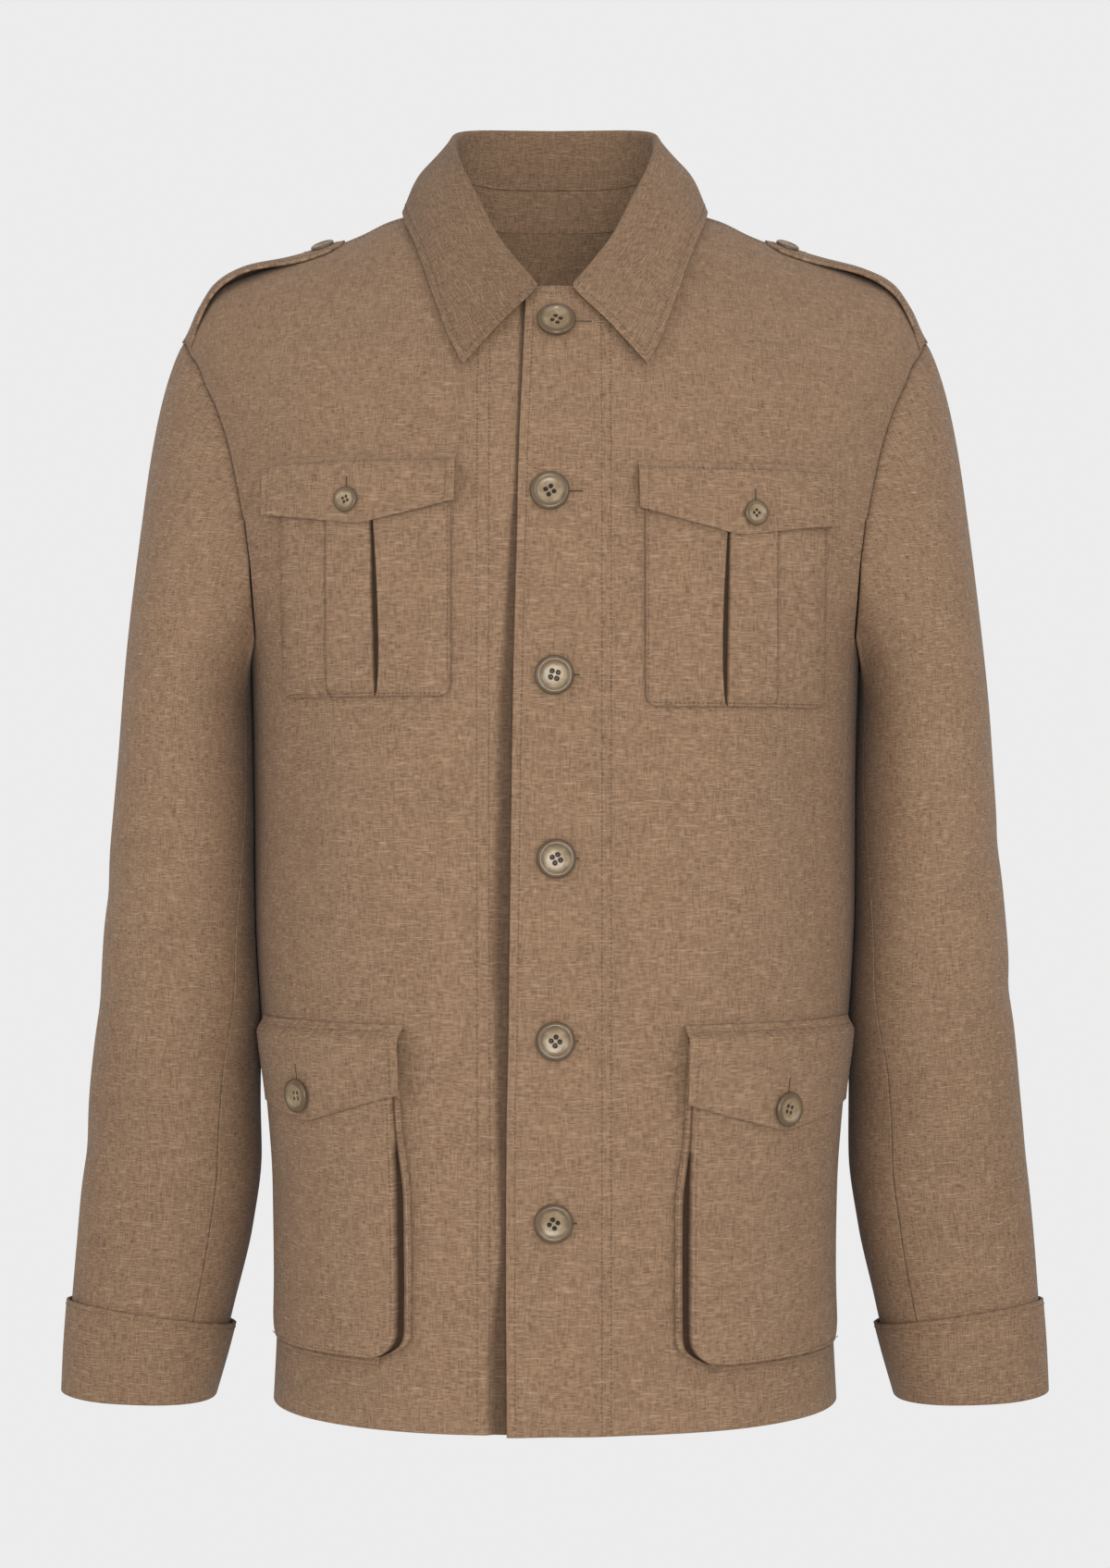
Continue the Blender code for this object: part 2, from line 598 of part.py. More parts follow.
def strap_points(side, along, across, lift):
    """A strap over the shoulder ridge: share of the way to the armhole, and metres from the ridge."""
    runs = np.linspace(-0.7, 0.7, 141)
    points = np.zeros(along.shape + (3,))
    normal = np.zeros(along.shape + (3,))
    for i in range(along.shape[0]):
        share = along[i, 0]
        line, _ = on_body(side * (STRAP_START + (arm_x(runs) - 4 * GAP - STRAP_START) * share), runs)
        length = np.concatenate([[0], np.cumsum(np.linalg.norm(np.diff(line, axis=0), axis=1))])
        length -= length[70]
        run = np.interp(across[i], length, runs)
        points[i], normal[i] = on_body(side * (STRAP_START + (arm_x(run) - 4 * GAP - STRAP_START) * share), run)
    return points + normal * lift[..., None], normal


def strap_lift(side, share):
    """The strap's arch: it stands off the shoulder between its button and the sleeve."""
    rise = 0.0052 if side < 0 else 0.0030
    return LAY + CLOTH + rise * np.sin(np.pi * step_up(0.18, 1.0, share) ** 1.2)


def build_strap(side, word):
    share = np.array([0.0, 0.018, 0.05, 0.10, 0.18, 0.30, 0.42, 0.54, 0.66, 0.78, 0.90, 1.0])
    half = np.array([0.0030, 0.0085, 0.0135, 0.0170, 0.0180, 0.0185, 0.0190, 0.0197, 0.0203, 0.0208, 0.0212, 0.0215])
    spread = np.linspace(-1, 1, 7)
    along = np.repeat(share[:, None], 7, 1)
    across = half[:, None] * spread + STRAP_AHEAD
    points, normal = strap_points(side, along, across, strap_lift(side, along))
    wall("epaulette_" + word, points, normal)
    lift = np.array([[LAY + CLOTH + 2 * GAP]])
    spot, facing = strap_points(side, np.array([[0.13]]), np.array([[STRAP_AHEAD]]), lift)
    build_button("epaulette_button_" + word, spot[0, 0], facing[0, 0], STRAP_BUTTON)


def build_button(name, spot, facing, size):
    """A round button: a flat back, a round rim and a dished face."""
    radius = size / 2
    profile = [
        (0.62, 0.00), (0.90, 0.030), (1.00, 0.085), (0.95, 0.145), (0.80, 0.155), (0.62, 0.105),
    ]
    facing = unit(facing)
    across = unit(np.cross([0.0, 0.0, 1.0], facing) if abs(facing[2]) < 0.9 else np.cross([0.0, 1.0, 0.0], facing))
    upward = np.cross(facing, across)
    sides = 14
    turn = np.arange(sides) * 2 * math.pi / sides
    rim = np.cos(turn)[:, None] * across + np.sin(turn)[:, None] * upward
    points = np.concatenate([spot + rim * radius * r + facing * size * h for r, h in profile])
    faces = []
    for i in range(len(profile) - 1):
        for j in range(sides):
            k = (j + 1) % sides
            faces.append([i * sides + j, i * sides + k, (i + 1) * sides + k, (i + 1) * sides + j])
    faces.append([int(v) for v in range(sides)][::-1])
    last = (len(profile) - 1) * sides
    faces.append([last + v for v in range(sides)])
    add_object(name, points, faces, (0.32, 0.255, 0.175), 0.4)


def build_front_buttons():
    heights = [-0.086, -0.188, -0.294, -0.400, -0.5055, -0.611]
    places = [0.0007, -0.003, -0.0003, 0.0008, 0.0003, -0.0008]
    for i, (z, x) in enumerate(zip(heights, places)):
        run = run_at(np.array(x), np.array(z))
        spot, facing = on_body(np.array(x), run, LAP_LIFT + 0.0005)
        build_button("front_button_%d" % (i + 1), spot, facing, FRONT_BUTTON)


def round_corner(height, radius):
    """How far a rounded lower corner of a radius is drawn in at a height over the edge."""
    rest = np.clip(radius - height, 0, radius)
    return radius - np.sqrt(radius ** 2 - rest ** 2)


# the chest pockets: side, inner and outer edge, bottom, flap top, flap ends and point,
# the flap's inner and outer edge, the pleat's inner and outer edge, button x and height
CHEST_POCKETS = [
    dict(side=-1, word="right", inner=0.0600, outer=0.1610, bottom=-0.3060, top=-0.1650,
         end_in=-0.1940, end_out=-0.1980, point=-0.2060, flap_in=0.0570, flap_out=0.1700,
         pleat_in=0.1060, pleat_out=0.1315, button_x=0.1190, button_z=-0.1920),
    dict(side=1, word="left", inner=0.0520, outer=0.1600, bottom=-0.3120, top=-0.1700,
         end_in=-0.1980, end_out=-0.2050, point=-0.2130, flap_in=0.0480, flap_out=0.1640,
         pleat_in=0.1005, pleat_out=0.1275, button_x=0.1140, button_z=-0.1995),
]
PLEAT_RISE = 0.0016


def on_front(x, z, lift):
    return on_body(x, run_at(x, z), lift)


def build_chest_pocket(p):
    side = p["side"]
    rise = 0.0008
    middle = np.linspace(p["pleat_in"], p["pleat_out"], 3)
    inner = p["inner"] + (p["pleat_in"] - rise - p["inner"]) * np.array([0, 0.5, 1.0])
    outer = p["pleat_out"] + rise + (p["outer"] - p["pleat_out"] - rise) * np.array([0, 0.5, 1.0])
    x = np.concatenate([inner, middle, outer])
    over = np.array([0, 0, 0, 1, 1, 1, 0, 0, 0]) * PLEAT_RISE
    height = np.array([0, 0.0012, 0.004, 0.009, 0.030, 0.055, 0.080, 0.105, p["top"] - p["bottom"] - 0.011])
    z = p["bottom"] + np.repeat(height[:, None], len(x), 1)
    draw = round_corner(height, CORNER)[:, None]
    middle_x = (p["inner"] + p["outer"]) / 2
    half = (p["outer"] - p["inner"]) / 2
    xs = middle_x + (x - middle_x) * (half - draw) / half
    lift = np.broadcast_to(LAY + CLOTH + over + 0.0005, xs.shape)
    points, normal = on_front(side * xs, z, lift)
    thick = np.broadcast_to(CLOTH + over * 0.6, xs.shape)
    wall("chest_pocket_" + p["word"], points, normal, thick=thick)
    across = np.linspace(0, 1, 11)
    down = np.array([0.0, 0.12, 0.24, 0.60, 1.0])[:, None]
    x = p["flap_in"] + (p["flap_out"] - p["flap_in"]) * across
    end = p["end_in"] + (p["end_out"] - p["end_in"]) * across
    bottom = end + (p["point"] - (p["end_in"] + p["end_out"]) / 2) * (1 - np.abs(2 * across - 1)) ** 1.1
    z = p["top"] + (bottom - p["top"]) * down
    x = np.broadcast_to(x, z.shape)
    ramp = step_up(0.0, 0.0085, p["top"] - z)
    lift = LAY + CLOTH + (LAY + CLOTH + PLEAT_RISE + 0.0005) * ramp
    points, normal = on_front(side * x, z, lift)
    wall("chest_flap_" + p["word"], points[::-1], normal[::-1])
    spot, facing = on_front(np.array(side * p["button_x"]), np.array(p["button_z"]),
                            np.array(2 * LAY + 2 * CLOTH + PLEAT_RISE + 0.0010))
    build_button("chest_button_" + p["word"], spot, facing, CHEST_BUTTON)


# the bellows pockets: side, the face's inner edge and width along the cloth, bottom and top,
# the flap's inner edge and width, its top, end and point heights, the share of its width at
# the point, and the button's place
BELLOWS = [
    dict(side=-1, word="right", inner=0.0935, wide=0.1122, bottom=-0.6920, top=-0.5080,
         flap_in=0.0880, flap_wide=0.1228, flap_top=-0.4970, end_in=-0.5370, end_out=-0.5480,
         point=-0.5560, tip=0.474, button_x=0.1394, button_z=-0.5400),
    dict(side=1, word="left", inner=0.0800, wide=0.127, bottom=-0.6950, top=-0.5080,
         flap_in=0.0760, flap_wide=0.136, flap_top=-0.4970, end_in=-0.5420, end_out=-0.5480,
         point=-0.5610, tip=0.419, button_x=0.1257, button_z=-0.5470),
]
BELLOWS_Z = -0.600


def arc_table():
    """Angles round from the front middle and the lengths of cloth up to them, at pocket height."""
    degrees = np.linspace(0, 110, 441)
    line = side_xyz(degrees, np.full(degrees.shape, BELLOWS_Z))
    length = np.concatenate([[0], np.cumsum(np.linalg.norm(np.diff(line, axis=0), axis=1))])
    return degrees, line[:, 0], length


def arc_of(x):
    degrees, line, length = arc_table()
    top = np.argmax(line)
    return np.interp(x, line[:top], length[:top])


def angle_of(arc):
    degrees, line, length = arc_table()
    return np.interp(arc, length, degrees)


def stand_off(share):
    """How far the pocket's face stands off, by the share of its width from the inner edge."""
    return PROUD - (PROUD - 0.0022) * step_up(0.35, 1.0, share)


def build_bellows(p):
    side = p["side"]
    start = arc_of(p["inner"])
    share = np.linspace(0, 1, 9)
    gusset_in = 0.0085
    gusset_out = 0.0030
    height = np.array([0, 0.0016, 0.006, 0.016, 0.050, 0.090, 0.130, 0.165, p["top"] - p["bottom"]])
    draw = round_corner(height, BELLOWS_CORNER)[:, None]
    arc = start + draw + (p["wide"] - 2 * draw) * share
    left = np.concatenate([arc[:, :1] - gusset_in, arc[:, :1] - gusset_in * 0.45], 1)
    right = np.concatenate([arc[:, -1:] + gusset_out * 0.45, arc[:, -1:] + gusset_out], 1)
    arc = np.concatenate([left, arc, right], 1)
    arc = np.concatenate([arc[:1], arc[:1], arc], 0)
    z = p["bottom"] + np.repeat(np.concatenate([[-0.0036, -0.0016], height])[:, None], arc.shape[1], 1)
    full = stand_off((arc - start) / p["wide"])
    level = np.minimum(np.array([0, 1] + [2] * 9)[:, None], np.array([0, 1] + [2] * 9 + [1, 0])[None])
    lift = LAY + CLOTH + np.where(level == 2, full, np.where(level == 1, 0.40 * full, 0.0))
    points, normal = on_side(side * angle_of(arc), z, lift)
    below, _ = on_side(side * angle_of(arc), z, lift - CLOTH)
    wall("lower_pocket_" + p["word"], points, normal, inner=below)
    across = np.linspace(0, 1, 11)
    down = np.array([0.0, 0.09, 0.18, 0.55, 1.0])[:, None]
    arc = arc_of(p["flap_in"]) + p["flap_wide"] * across
    end = p["end_in"] + (p["end_out"] - p["end_in"]) * across
    drop = p["point"] - (p["end_in"] + p["end_out"]) / 2
    lean = math.log(0.5) / math.log(p["tip"])
    bottom = end + drop * (1 - np.abs(2 * across ** lean - 1)) ** 1.1
    z = p["flap_top"] + (bottom - p["flap_top"]) * down
    arc = np.broadcast_to(arc, z.shape)
    ramp = step_up(0.0, 0.0095, p["flap_top"] - z)
    face = stand_off((arc - start) / p["wide"]) + LAY + CLOTH
    lift = LAY + CLOTH + face * ramp
    points, normal = on_side(side * angle_of(arc), z, lift)
    wall("lower_flap_" + p["word"], points[::-1], normal[::-1])
    spot_arc = arc_of(p["button_x"])
    lift = 2 * LAY + 2 * CLOTH + stand_off((spot_arc - start) / p["wide"]) + 0.0006
    spot, facing = on_side(np.array(side * angle_of(spot_arc)), np.array(p["button_z"]), np.array(lift))
    build_button("lower_button_" + p["word"], spot, facing, POCKET_BUTTON)


def build():
    for side, word in ((-1, "right"), (1, "left")):
        build_front("front_" + word, side)
        floor_points, floor_normals = build_side("side_panel_" + word, side)
        build_sleeve(side, word, floor_points, floor_normals)
        build_strap(side, word)
    build_back()
    build_collar()
    build_front_buttons()
    for pocket in CHEST_POCKETS:
        build_chest_pocket(pocket)
    for pocket in BELLOWS:
        build_bellows(pocket)


build()
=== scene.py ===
# Safari jacket: cloth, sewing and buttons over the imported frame.
# Metres, +Z up, the front faces -Y, the wearer's left side is at +X.
import math
import bpy
import numpy as np
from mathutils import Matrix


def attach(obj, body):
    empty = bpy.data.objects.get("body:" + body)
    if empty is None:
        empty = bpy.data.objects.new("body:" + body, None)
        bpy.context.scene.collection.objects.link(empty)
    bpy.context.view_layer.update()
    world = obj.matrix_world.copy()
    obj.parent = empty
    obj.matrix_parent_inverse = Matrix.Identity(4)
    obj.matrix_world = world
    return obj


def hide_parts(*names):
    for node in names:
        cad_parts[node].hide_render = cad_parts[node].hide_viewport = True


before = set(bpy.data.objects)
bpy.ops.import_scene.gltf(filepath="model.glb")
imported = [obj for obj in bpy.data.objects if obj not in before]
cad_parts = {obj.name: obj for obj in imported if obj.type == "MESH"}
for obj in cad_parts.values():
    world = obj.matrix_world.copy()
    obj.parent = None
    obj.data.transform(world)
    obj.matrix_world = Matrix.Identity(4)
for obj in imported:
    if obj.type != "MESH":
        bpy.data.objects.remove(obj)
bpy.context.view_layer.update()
print("frame loaded:", len(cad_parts), "nodes")

form = dict(
    cloth=0.0018, gap=0.0003, lay=0.0011, hem=-0.7355, chest=-0.200, underarm=-0.287,
    fullness=2.3, frontSlope=1.65, backSlope=1.9, sideRatio=0.942, shoulderSeam=0.093,
    lap=0.0024, lapWidth=(0.018, 0.052), underEdge=0.014, proud=0.0068, lowProud=0.0022,
    sleeveTilt=0.045, sleeveEnd=-0.7318, cuff=0.050)
form["sideSeam"] = math.degrees(math.asin(form["sideRatio"] ** (form["fullness"] / 2)))

# how far along the bolt each piece's weave starts, so that no two show the same yarns
weaveStart = dict(sidePanel=0.31, back=0.9, sleeve=2.0, cuff=4.0, stand=6.0, fall=7.0, strap=9.0,
                  chestPocket=11.0, chestFlap=13.0, lowerPocket=15.0, lowerFlap=17.0)
overShoulder = 0.09   # length that the weave gains on its height over the shoulder
noStitch = 0.1   # a distance at which no stitch shades the cloth

# the body's sections: height, half width, front depth, back depth
bodySections = np.array([
    (-0.740, 0.1745, 0.1450, 0.1210), (-0.690, 0.1722, 0.1460, 0.1205),
    (-0.650, 0.1712, 0.1470, 0.1200), (-0.600, 0.1718, 0.1480, 0.1195),
    (-0.550, 0.1753, 0.1490, 0.1190), (-0.500, 0.1818, 0.1495, 0.1185),
    (-0.440, 0.1849, 0.1500, 0.1185), (-0.330, 0.1863, 0.1520, 0.1220),
    (-0.290, 0.1877, 0.1525, 0.1240), (-0.268, 0.1920, 0.1525, 0.1250),
    (-0.230, 0.2055, 0.1520, 0.1260), (-0.200, 0.2105, 0.1510, 0.1265),
    (-0.159, 0.2160, 0.1500, 0.1265), (-0.130, 0.2225, 0.1500, 0.1265),
    (-0.105, 0.2290, 0.1500, 0.1265), (-0.083, 0.2370, 0.1500, 0.1265),
    (0.030, 0.2620, 0.1500, 0.1265)])

# the shoulder ridge: distance from the middle, height
ridge = np.array([
    (0.000, 0.0120), (0.050, 0.0060), (0.075, 0.0000), (0.102, -0.0070), (0.120, -0.0157),
    (0.140, -0.0236), (0.167, -0.0325), (0.191, -0.0410), (0.2077, -0.0485), (0.2185, -0.0615),
    (0.2275, -0.0775), (0.2325, -0.0850), (0.2450, -0.1080)])

# the armhole seam: run over the shoulder, half width
armhole = np.array([
    (0.000, 0.2325), (0.325, 0.2250), (0.480, 0.2173), (0.550, 0.2135), (0.659, 0.2047),
    (0.786, 0.1958), (0.908, 0.1895), (1.000, 0.1855), (1.030, 0.1822), (1.068, 0.1809)])

# rows up a front: run at the inner end and at the side; the last seven start on the neck seam
frontTable = np.array([
    (1.5355, 1.5355), (1.068, 1.068), (1.030, 1.030), (1.000, 1.000), (0.908, 0.908),
    (0.800, 0.800), (0.700, 0.690), (0.600, 0.600), (0.507, 0.530), (0.504, 0.470),
    (0.478, 0.410), (0.420, 0.350), (0.340, 0.285), (0.250, 0.220), (0.170, 0.160),
    (0.093, 0.093)])
firstNeckRow = 9

# the sleeve's sections: height, outer side, inner side, front, back, degrees of the two seams
sleeveSections = np.array([
    (-0.315, 0.2675, 0.1876, -0.0900, 0.0860, 160.0, 156.0),
    (-0.353, 0.2705, 0.1864, -0.0870, 0.0830, 158.0, 152.0),
    (-0.399, 0.2745, 0.1856, -0.0830, 0.0760, 150.0, 146.0),
    (-0.445, 0.2785, 0.1852, -0.0790, 0.0700, 143.0, 140.0),
    (-0.491, 0.2820, 0.1824, -0.0755, 0.0640, 136.0, 135.0),
    (-0.537, 0.2865, 0.1829, -0.0730, 0.0580, 127.0, 132.0),
    (-0.583, 0.2905, 0.1824, -0.0710, 0.0520, 124.0, 130.0),
    (-0.629, 0.2945, 0.1880, -0.0690, 0.0460, 124.0, 130.0),
    (-0.675, 0.2980, 0.1985, -0.0670, 0.0400, 125.0, 130.0),
    (-0.732, 0.3015, 0.2120, -0.0660, 0.0320, 126.0, 130.0)])

# half of the collar: place, seam x, seam run, fold x, y, z, stand share, edge x, edge run, lift
collarTable = np.array([
    (0.00, 0.0000, -0.258, 0.0000, 0.0540, 0.0600, 0.40, 0.0000, -0.334, 0.0036),
    (0.20, 0.0330, -0.232, 0.0360, 0.0465, 0.0590, 0.40, 0.0460, -0.300, 0.0036),
    (0.35, 0.0560, -0.165, 0.0560, 0.0280, 0.0550, 0.41, 0.0760, -0.215, 0.0036),
    (0.48, 0.0715, -0.070, 0.0635, 0.0050, 0.0475, 0.43, 0.0920, -0.070, 0.0036),
    (0.56, 0.0757, 0.030, 0.0632, -0.0130, 0.0385, 0.44, 0.0938, 0.060, 0.0036),
    (0.64, 0.0735, 0.160, 0.0590, -0.0340, 0.0240, 0.45, 0.0918, 0.195, 0.0036),
    (0.74, 0.0650, 0.315, 0.0480, -0.0590, 0.0000, 0.46, 0.0840, 0.335, 0.0040),
    (0.84, 0.0510, 0.420, 0.0340, -0.0800, -0.0285, 0.47, 0.0752, 0.462, 0.0044),
    (0.93, 0.0310, 0.484, 0.0210, -0.0945, -0.0470, 0.38, 0.0636, 0.596, 0.0048),
    (1.00, 0.0145, 0.504, 0.0105, -0.1070, -0.0612, 0.28, 0.0536, 0.676, 0.0050)])

# the upper front's edge: depth below the origin, distance past the middle, width of the
# hollow that opens beside it and of the painted shadow laid into that hollow
edgeTable = np.array([
    (0.0630, 0.0172, 0.0030), (0.1120, 0.0190, 0.0020), (0.1760, 0.0214, 0.0018),
    (0.2080, 0.0220, 0.0037), (0.2730, 0.0236, 0.0060), (0.3050, 0.0243, 0.0078),
    (0.4010, 0.0256, 0.0086), (0.4490, 0.0262, 0.0097), (0.4980, 0.0267, 0.0080),
    (0.5620, 0.0279, 0.0059), (0.6260, 0.0281, 0.0037), (0.6580, 0.0281, 0.0070),
    (0.6900, 0.0279, 0.0100), (0.7355, 0.0277, 0.0103)])

# creases of the body: face (-1 front, 1 back), x, height, lean in degrees, length, width, depth
bodyCreases = np.array([
    (-1, -0.040, -0.560, 2.0, 0.150, 0.011, -0.0022),
    (-1, -0.150, -0.352, 24.0, 0.050, 0.020, -0.0020),
    (-1, -0.120, -0.400, -12.0, 0.060, 0.020, 0.0020),
    (-1, 0.152, -0.352, -22.0, 0.050, 0.020, -0.0020),
    (-1, 0.110, -0.390, 10.0, 0.060, 0.022, 0.0020),
    (-1, 0.050, -0.640, -4.0, 0.080, 0.020, 0.0015),
    (-1, -0.095, -0.452, 8.0, 0.070, 0.012, -0.0007),
    (-1, -0.060, -0.330, -4.0, 0.090, 0.016, 0.0007),
    (-1, 0.078, -0.462, -9.0, 0.070, 0.013, -0.0007),
    (-1, 0.160, -0.440, -14.0, 0.050, 0.010, -0.0009),
    (-1, -0.162, -0.432, 12.0, 0.050, 0.010, -0.0009),
    (-1, -0.175, -0.160, -32.0, 0.045, 0.012, -0.0008),
    (-1, 0.178, -0.168, 30.0, 0.045, 0.012, -0.0008),
    (-1, -0.110, -0.120, -58.0, 0.045, 0.012, -0.0005),
    (-1, 0.120, -0.126, 56.0, 0.045, 0.012, -0.0005),
    (1, -0.150, -0.330, 28.0, 0.055, 0.016, -0.0024),
    (1, -0.125, -0.390, 14.0, 0.060, 0.014, -0.0016),
    (1, -0.060, -0.420, 3.0, 0.110, 0.018, 0.0018),
    (1, 0.010, -0.400, -2.0, 0.120, 0.016, -0.0014),
    (1, 0.148, -0.344, -26.0, 0.055, 0.016, -0.0023),
    (1, 0.110, -0.420, -11.0, 0.065, 0.014, -0.0015),
    (1, 0.062, -0.520, -4.0, 0.110, 0.020, 0.0018),
    (1, -0.090, -0.600, 5.0, 0.090, 0.018, -0.0015),
    (1, 0.030, -0.640, 2.0, 0.080, 0.018, 0.0014),
    (1, -0.105, -0.120, 62.0, 0.050, 0.013, -0.0012),
    (1, 0.112, -0.128, -60.0, 0.050, 0.013, -0.0012),
    (1, 0.140, -0.200, -35.0, 0.050, 0.012, -0.0012),
    (1, -0.145, -0.190, 38.0, 0.050, 0.012, -0.0012)])

# creases of the sleeves: side, degrees round, height, lean, length, width, depth
sleeveCreases = np.array([
    (-1, 60.0, -0.400, 58.0, 0.050, 0.013, -0.0028),
    (-1, 75.0, -0.465, 62.0, 0.050, 0.012, -0.0030),
    (-1, 40.0, -0.560, 50.0, 0.050, 0.015, -0.0024),
    (-1, 230.0, -0.430, -60.0, 0.050, 0.014, -0.0028),
    (1, 65.0, -0.420, -58.0, 0.050, 0.013, -0.0028),
    (1, 50.0, -0.500, -62.0, 0.050, 0.013, -0.0026),
    (1, 80.0, -0.590, -50.0, 0.045, 0.014, -0.0024),
    (1, 230.0, -0.460, 60.0, 0.050, 0.014, -0.0028),
    (-1, 55.0, -0.330, 10.0, 0.070, 0.012, 0.0010),
    (-1, 85.0, -0.630, -20.0, 0.050, 0.012, -0.0010),
    (-1, 290.0, -0.400, 48.0, 0.055, 0.013, -0.0020),
    (-1, 300.0, -0.520, 56.0, 0.050, 0.013, -0.0022),
    (-1, 250.0, -0.600, -52.0, 0.050, 0.013, -0.0018),
    (1, 60.0, -0.335, -8.0, 0.070, 0.012, 0.0010),
    (1, 95.0, -0.660, 24.0, 0.045, 0.012, -0.0010),
    (1, 285.0, -0.415, -50.0, 0.055, 0.013, -0.0021),
    (1, 305.0, -0.545, -54.0, 0.050, 0.013, -0.0020),
    (1, 245.0, -0.620, 50.0, 0.050, 0.013, -0.0018)])


def smooth(xs, ys, at):
    # monotone cubic through the rows (xs, ys): Hermite pieces with harmonic-mean slopes
    step = np.diff(xs)
    slope = np.diff(ys) / step
    tangent = np.zeros(len(xs))
    tangent[0], tangent[-1] = slope[0], slope[-1]
    same = slope[:-1] * slope[1:] > 0
    first = (2 * step[1:] + step[:-1])[same]
    second = (step[1:] + 2 * step[:-1])[same]
    tangent[1:-1][same] = (first + second) / (first / slope[:-1][same] + second / slope[1:][same])
    place = np.clip(np.searchsorted(xs, at) - 1, 0, len(xs) - 2)
    s = np.clip((at - xs[place]) / step[place], 0.0, 1.0)
    start = (1 + 2 * s) * (1 - s) ** 2 * ys[place] + s * (1 - s) ** 2 * step[place] * tangent[place]
    end = s * s * (3 - 2 * s) * ys[place + 1] + s * s * (s - 1) * step[place] * tangent[place + 1]
    return start + end


def stepUp(low, high, at):
    # 3s^2 - 2s^3 of the share s of the way from low to high
    s = np.clip((at - low) / (high - low), 0.0, 1.0)
    return s * s * (3 - 2 * s)


def unit(vectors):
    # each vector divided by its length
    return vectors / np.maximum(np.linalg.norm(vectors, axis=-1, keepdims=True), 1e-12)


def bodySize(column, z):
    # half width (1), front depth (2) or back depth (3) at a height
    return smooth(bodySections[:, 0], bodySections[:, column], z)


def bodyPoint(x, run):
    # superellipse section at each height; over the shoulder the height falls by 1 - cos^p of
    # the run's quarter turn and the depth grows by sin^p
    x, run = np.broadcast_arrays(np.asarray(x, float), np.asarray(run, float))
    turn = np.clip(np.abs(run), 0, 1) * math.pi / 2
    power = 2 / np.where(run >= 0, form["frontSlope"], form["backSlope"])
    top = smooth(ridge[:, 0], ridge[:, 1], np.abs(x))
    fall = (top - form["chest"]) * (1 - np.maximum(np.cos(turn), 0) ** power)
    z = top - fall - np.maximum(np.abs(run) - 1, 0)
    depth = np.where(run >= 0, bodySize(2, z), bodySize(3, z))
    share = np.minimum(np.abs(x) / bodySize(1, z), 1)
    n = form["fullness"]
    y = -np.sign(run) * depth * (1 - share ** n) ** (1 / n) * np.sin(turn) ** power
    return np.stack([x, y, z], -1)


def sidePoint(degrees, z):
    # superellipse section at a height, by the angle round from the front middle
    degrees, z = np.broadcast_arrays(np.asarray(degrees, float), np.asarray(z, float))
    sine, cosine = np.sin(np.radians(degrees)), np.cos(np.radians(degrees))
    depth = np.where(cosine >= 0, bodySize(2, z), bodySize(3, z))
    x = bodySize(1, z) * np.sign(sine) * np.abs(sine) ** (2 / form["fullness"])
    y = -np.sign(cosine) * depth * np.abs(cosine) ** (2 / form["fullness"])
    return np.stack([x, y, z], -1)


creaseLook = dict(facing=(0.028, 0.040), calm=(-0.05, -0.12), uneven=0.00035,
                  perDegree=0.0009, sleeveCalm=(-0.20, -0.32), sleeveUneven=0.0005)


def creaseHeight(points):
    # sum of Gaussian troughs and ridges, each depth * exp(-(across/width)^2 - (along/length)^2)
    height = np.zeros(points.shape[:-1])
    for face, x, z, lean, length, width, depth in bodyCreases:
        turn = math.radians(lean)
        right, up = points[..., 0] - x, points[..., 2] - z
        along = right * math.sin(turn) + up * math.cos(turn)
        across = right * math.cos(turn) - up * math.sin(turn)
        near = stepUp(*creaseLook["facing"], face * points[..., 1])
        height += near * depth * np.exp(-(across / width) ** 2 - (along / length) ** 2)
    x, y, z = points[..., 0], points[..., 1], points[..., 2]
    calm = stepUp(*creaseLook["calm"], z)
    uneven = np.sin(43 * x + 17 * z + 9 * y + 0.7) * np.sin(19 * z - 26 * x + 1.9)
    uneven = uneven + 0.5 * np.sin(71 * x - 23 * z + 0.4) * np.sin(31 * z + 38 * y)
    return height + creaseLook["uneven"] * calm * uneven


def onBody(x, run, lift=0.0):
    # the body's point moved out by crease and lift along its normal, the cross product of two short steps
    small = 1e-5
    points = bodyPoint(x, run)
    along = bodyPoint(x, run + small) - bodyPoint(x, run - small)
    across = bodyPoint(x + small, run) - bodyPoint(x - small, run)
    normal = unit(np.cross(along, across))
    return points + normal * (creaseHeight(points) + lift)[..., None], normal


def onSide(degrees, z, lift=0.0):
    # the same by the angle round the body
    small = 1e-4
    points = sidePoint(degrees, z)
    around = sidePoint(degrees + small, z) - sidePoint(degrees - small, z)
    up = sidePoint(degrees, z + small) - sidePoint(degrees, z - small)
    normal = unit(np.cross(around, up))
    return points + normal * (creaseHeight(points) + lift)[..., None], normal


def runAt(x, z):
    # the run over the front shoulder where the body over x has the height z
    top = smooth(ridge[:, 0], ridge[:, 1], np.abs(x))
    fall = np.clip((top - z) / (top - form["chest"]), 0, 1)
    upper = np.arccos(np.clip((1 - fall) ** (form["frontSlope"] / 2), 0, 1)) / (math.pi / 2)
    return np.where(z < form["chest"], 1 + form["chest"] - z, upper)


def armX(run):
    # half width at the armhole seam, and below its end a fixed share of the body's half width
    seam = form["sideRatio"] * bodySize(1, form["chest"] + 1 - np.maximum(np.abs(run), 1))
    over = smooth(armhole[:, 0], armhole[:, 1], np.abs(run))
    return np.where(np.abs(run) > armhole[-1, 0], seam, over)


def neckX(run):
    # the neck seam's distance from the middle at a run
    return smooth(collarTable[4:, 2], collarTable[4:, 1], run)


def neckRun(x):
    # the neck seam's run behind the shoulder seam, by the distance from the middle
    return smooth(collarTable[:5, 1], collarTable[:5, 2], np.minimum(np.abs(x), collarTable[4, 1]))


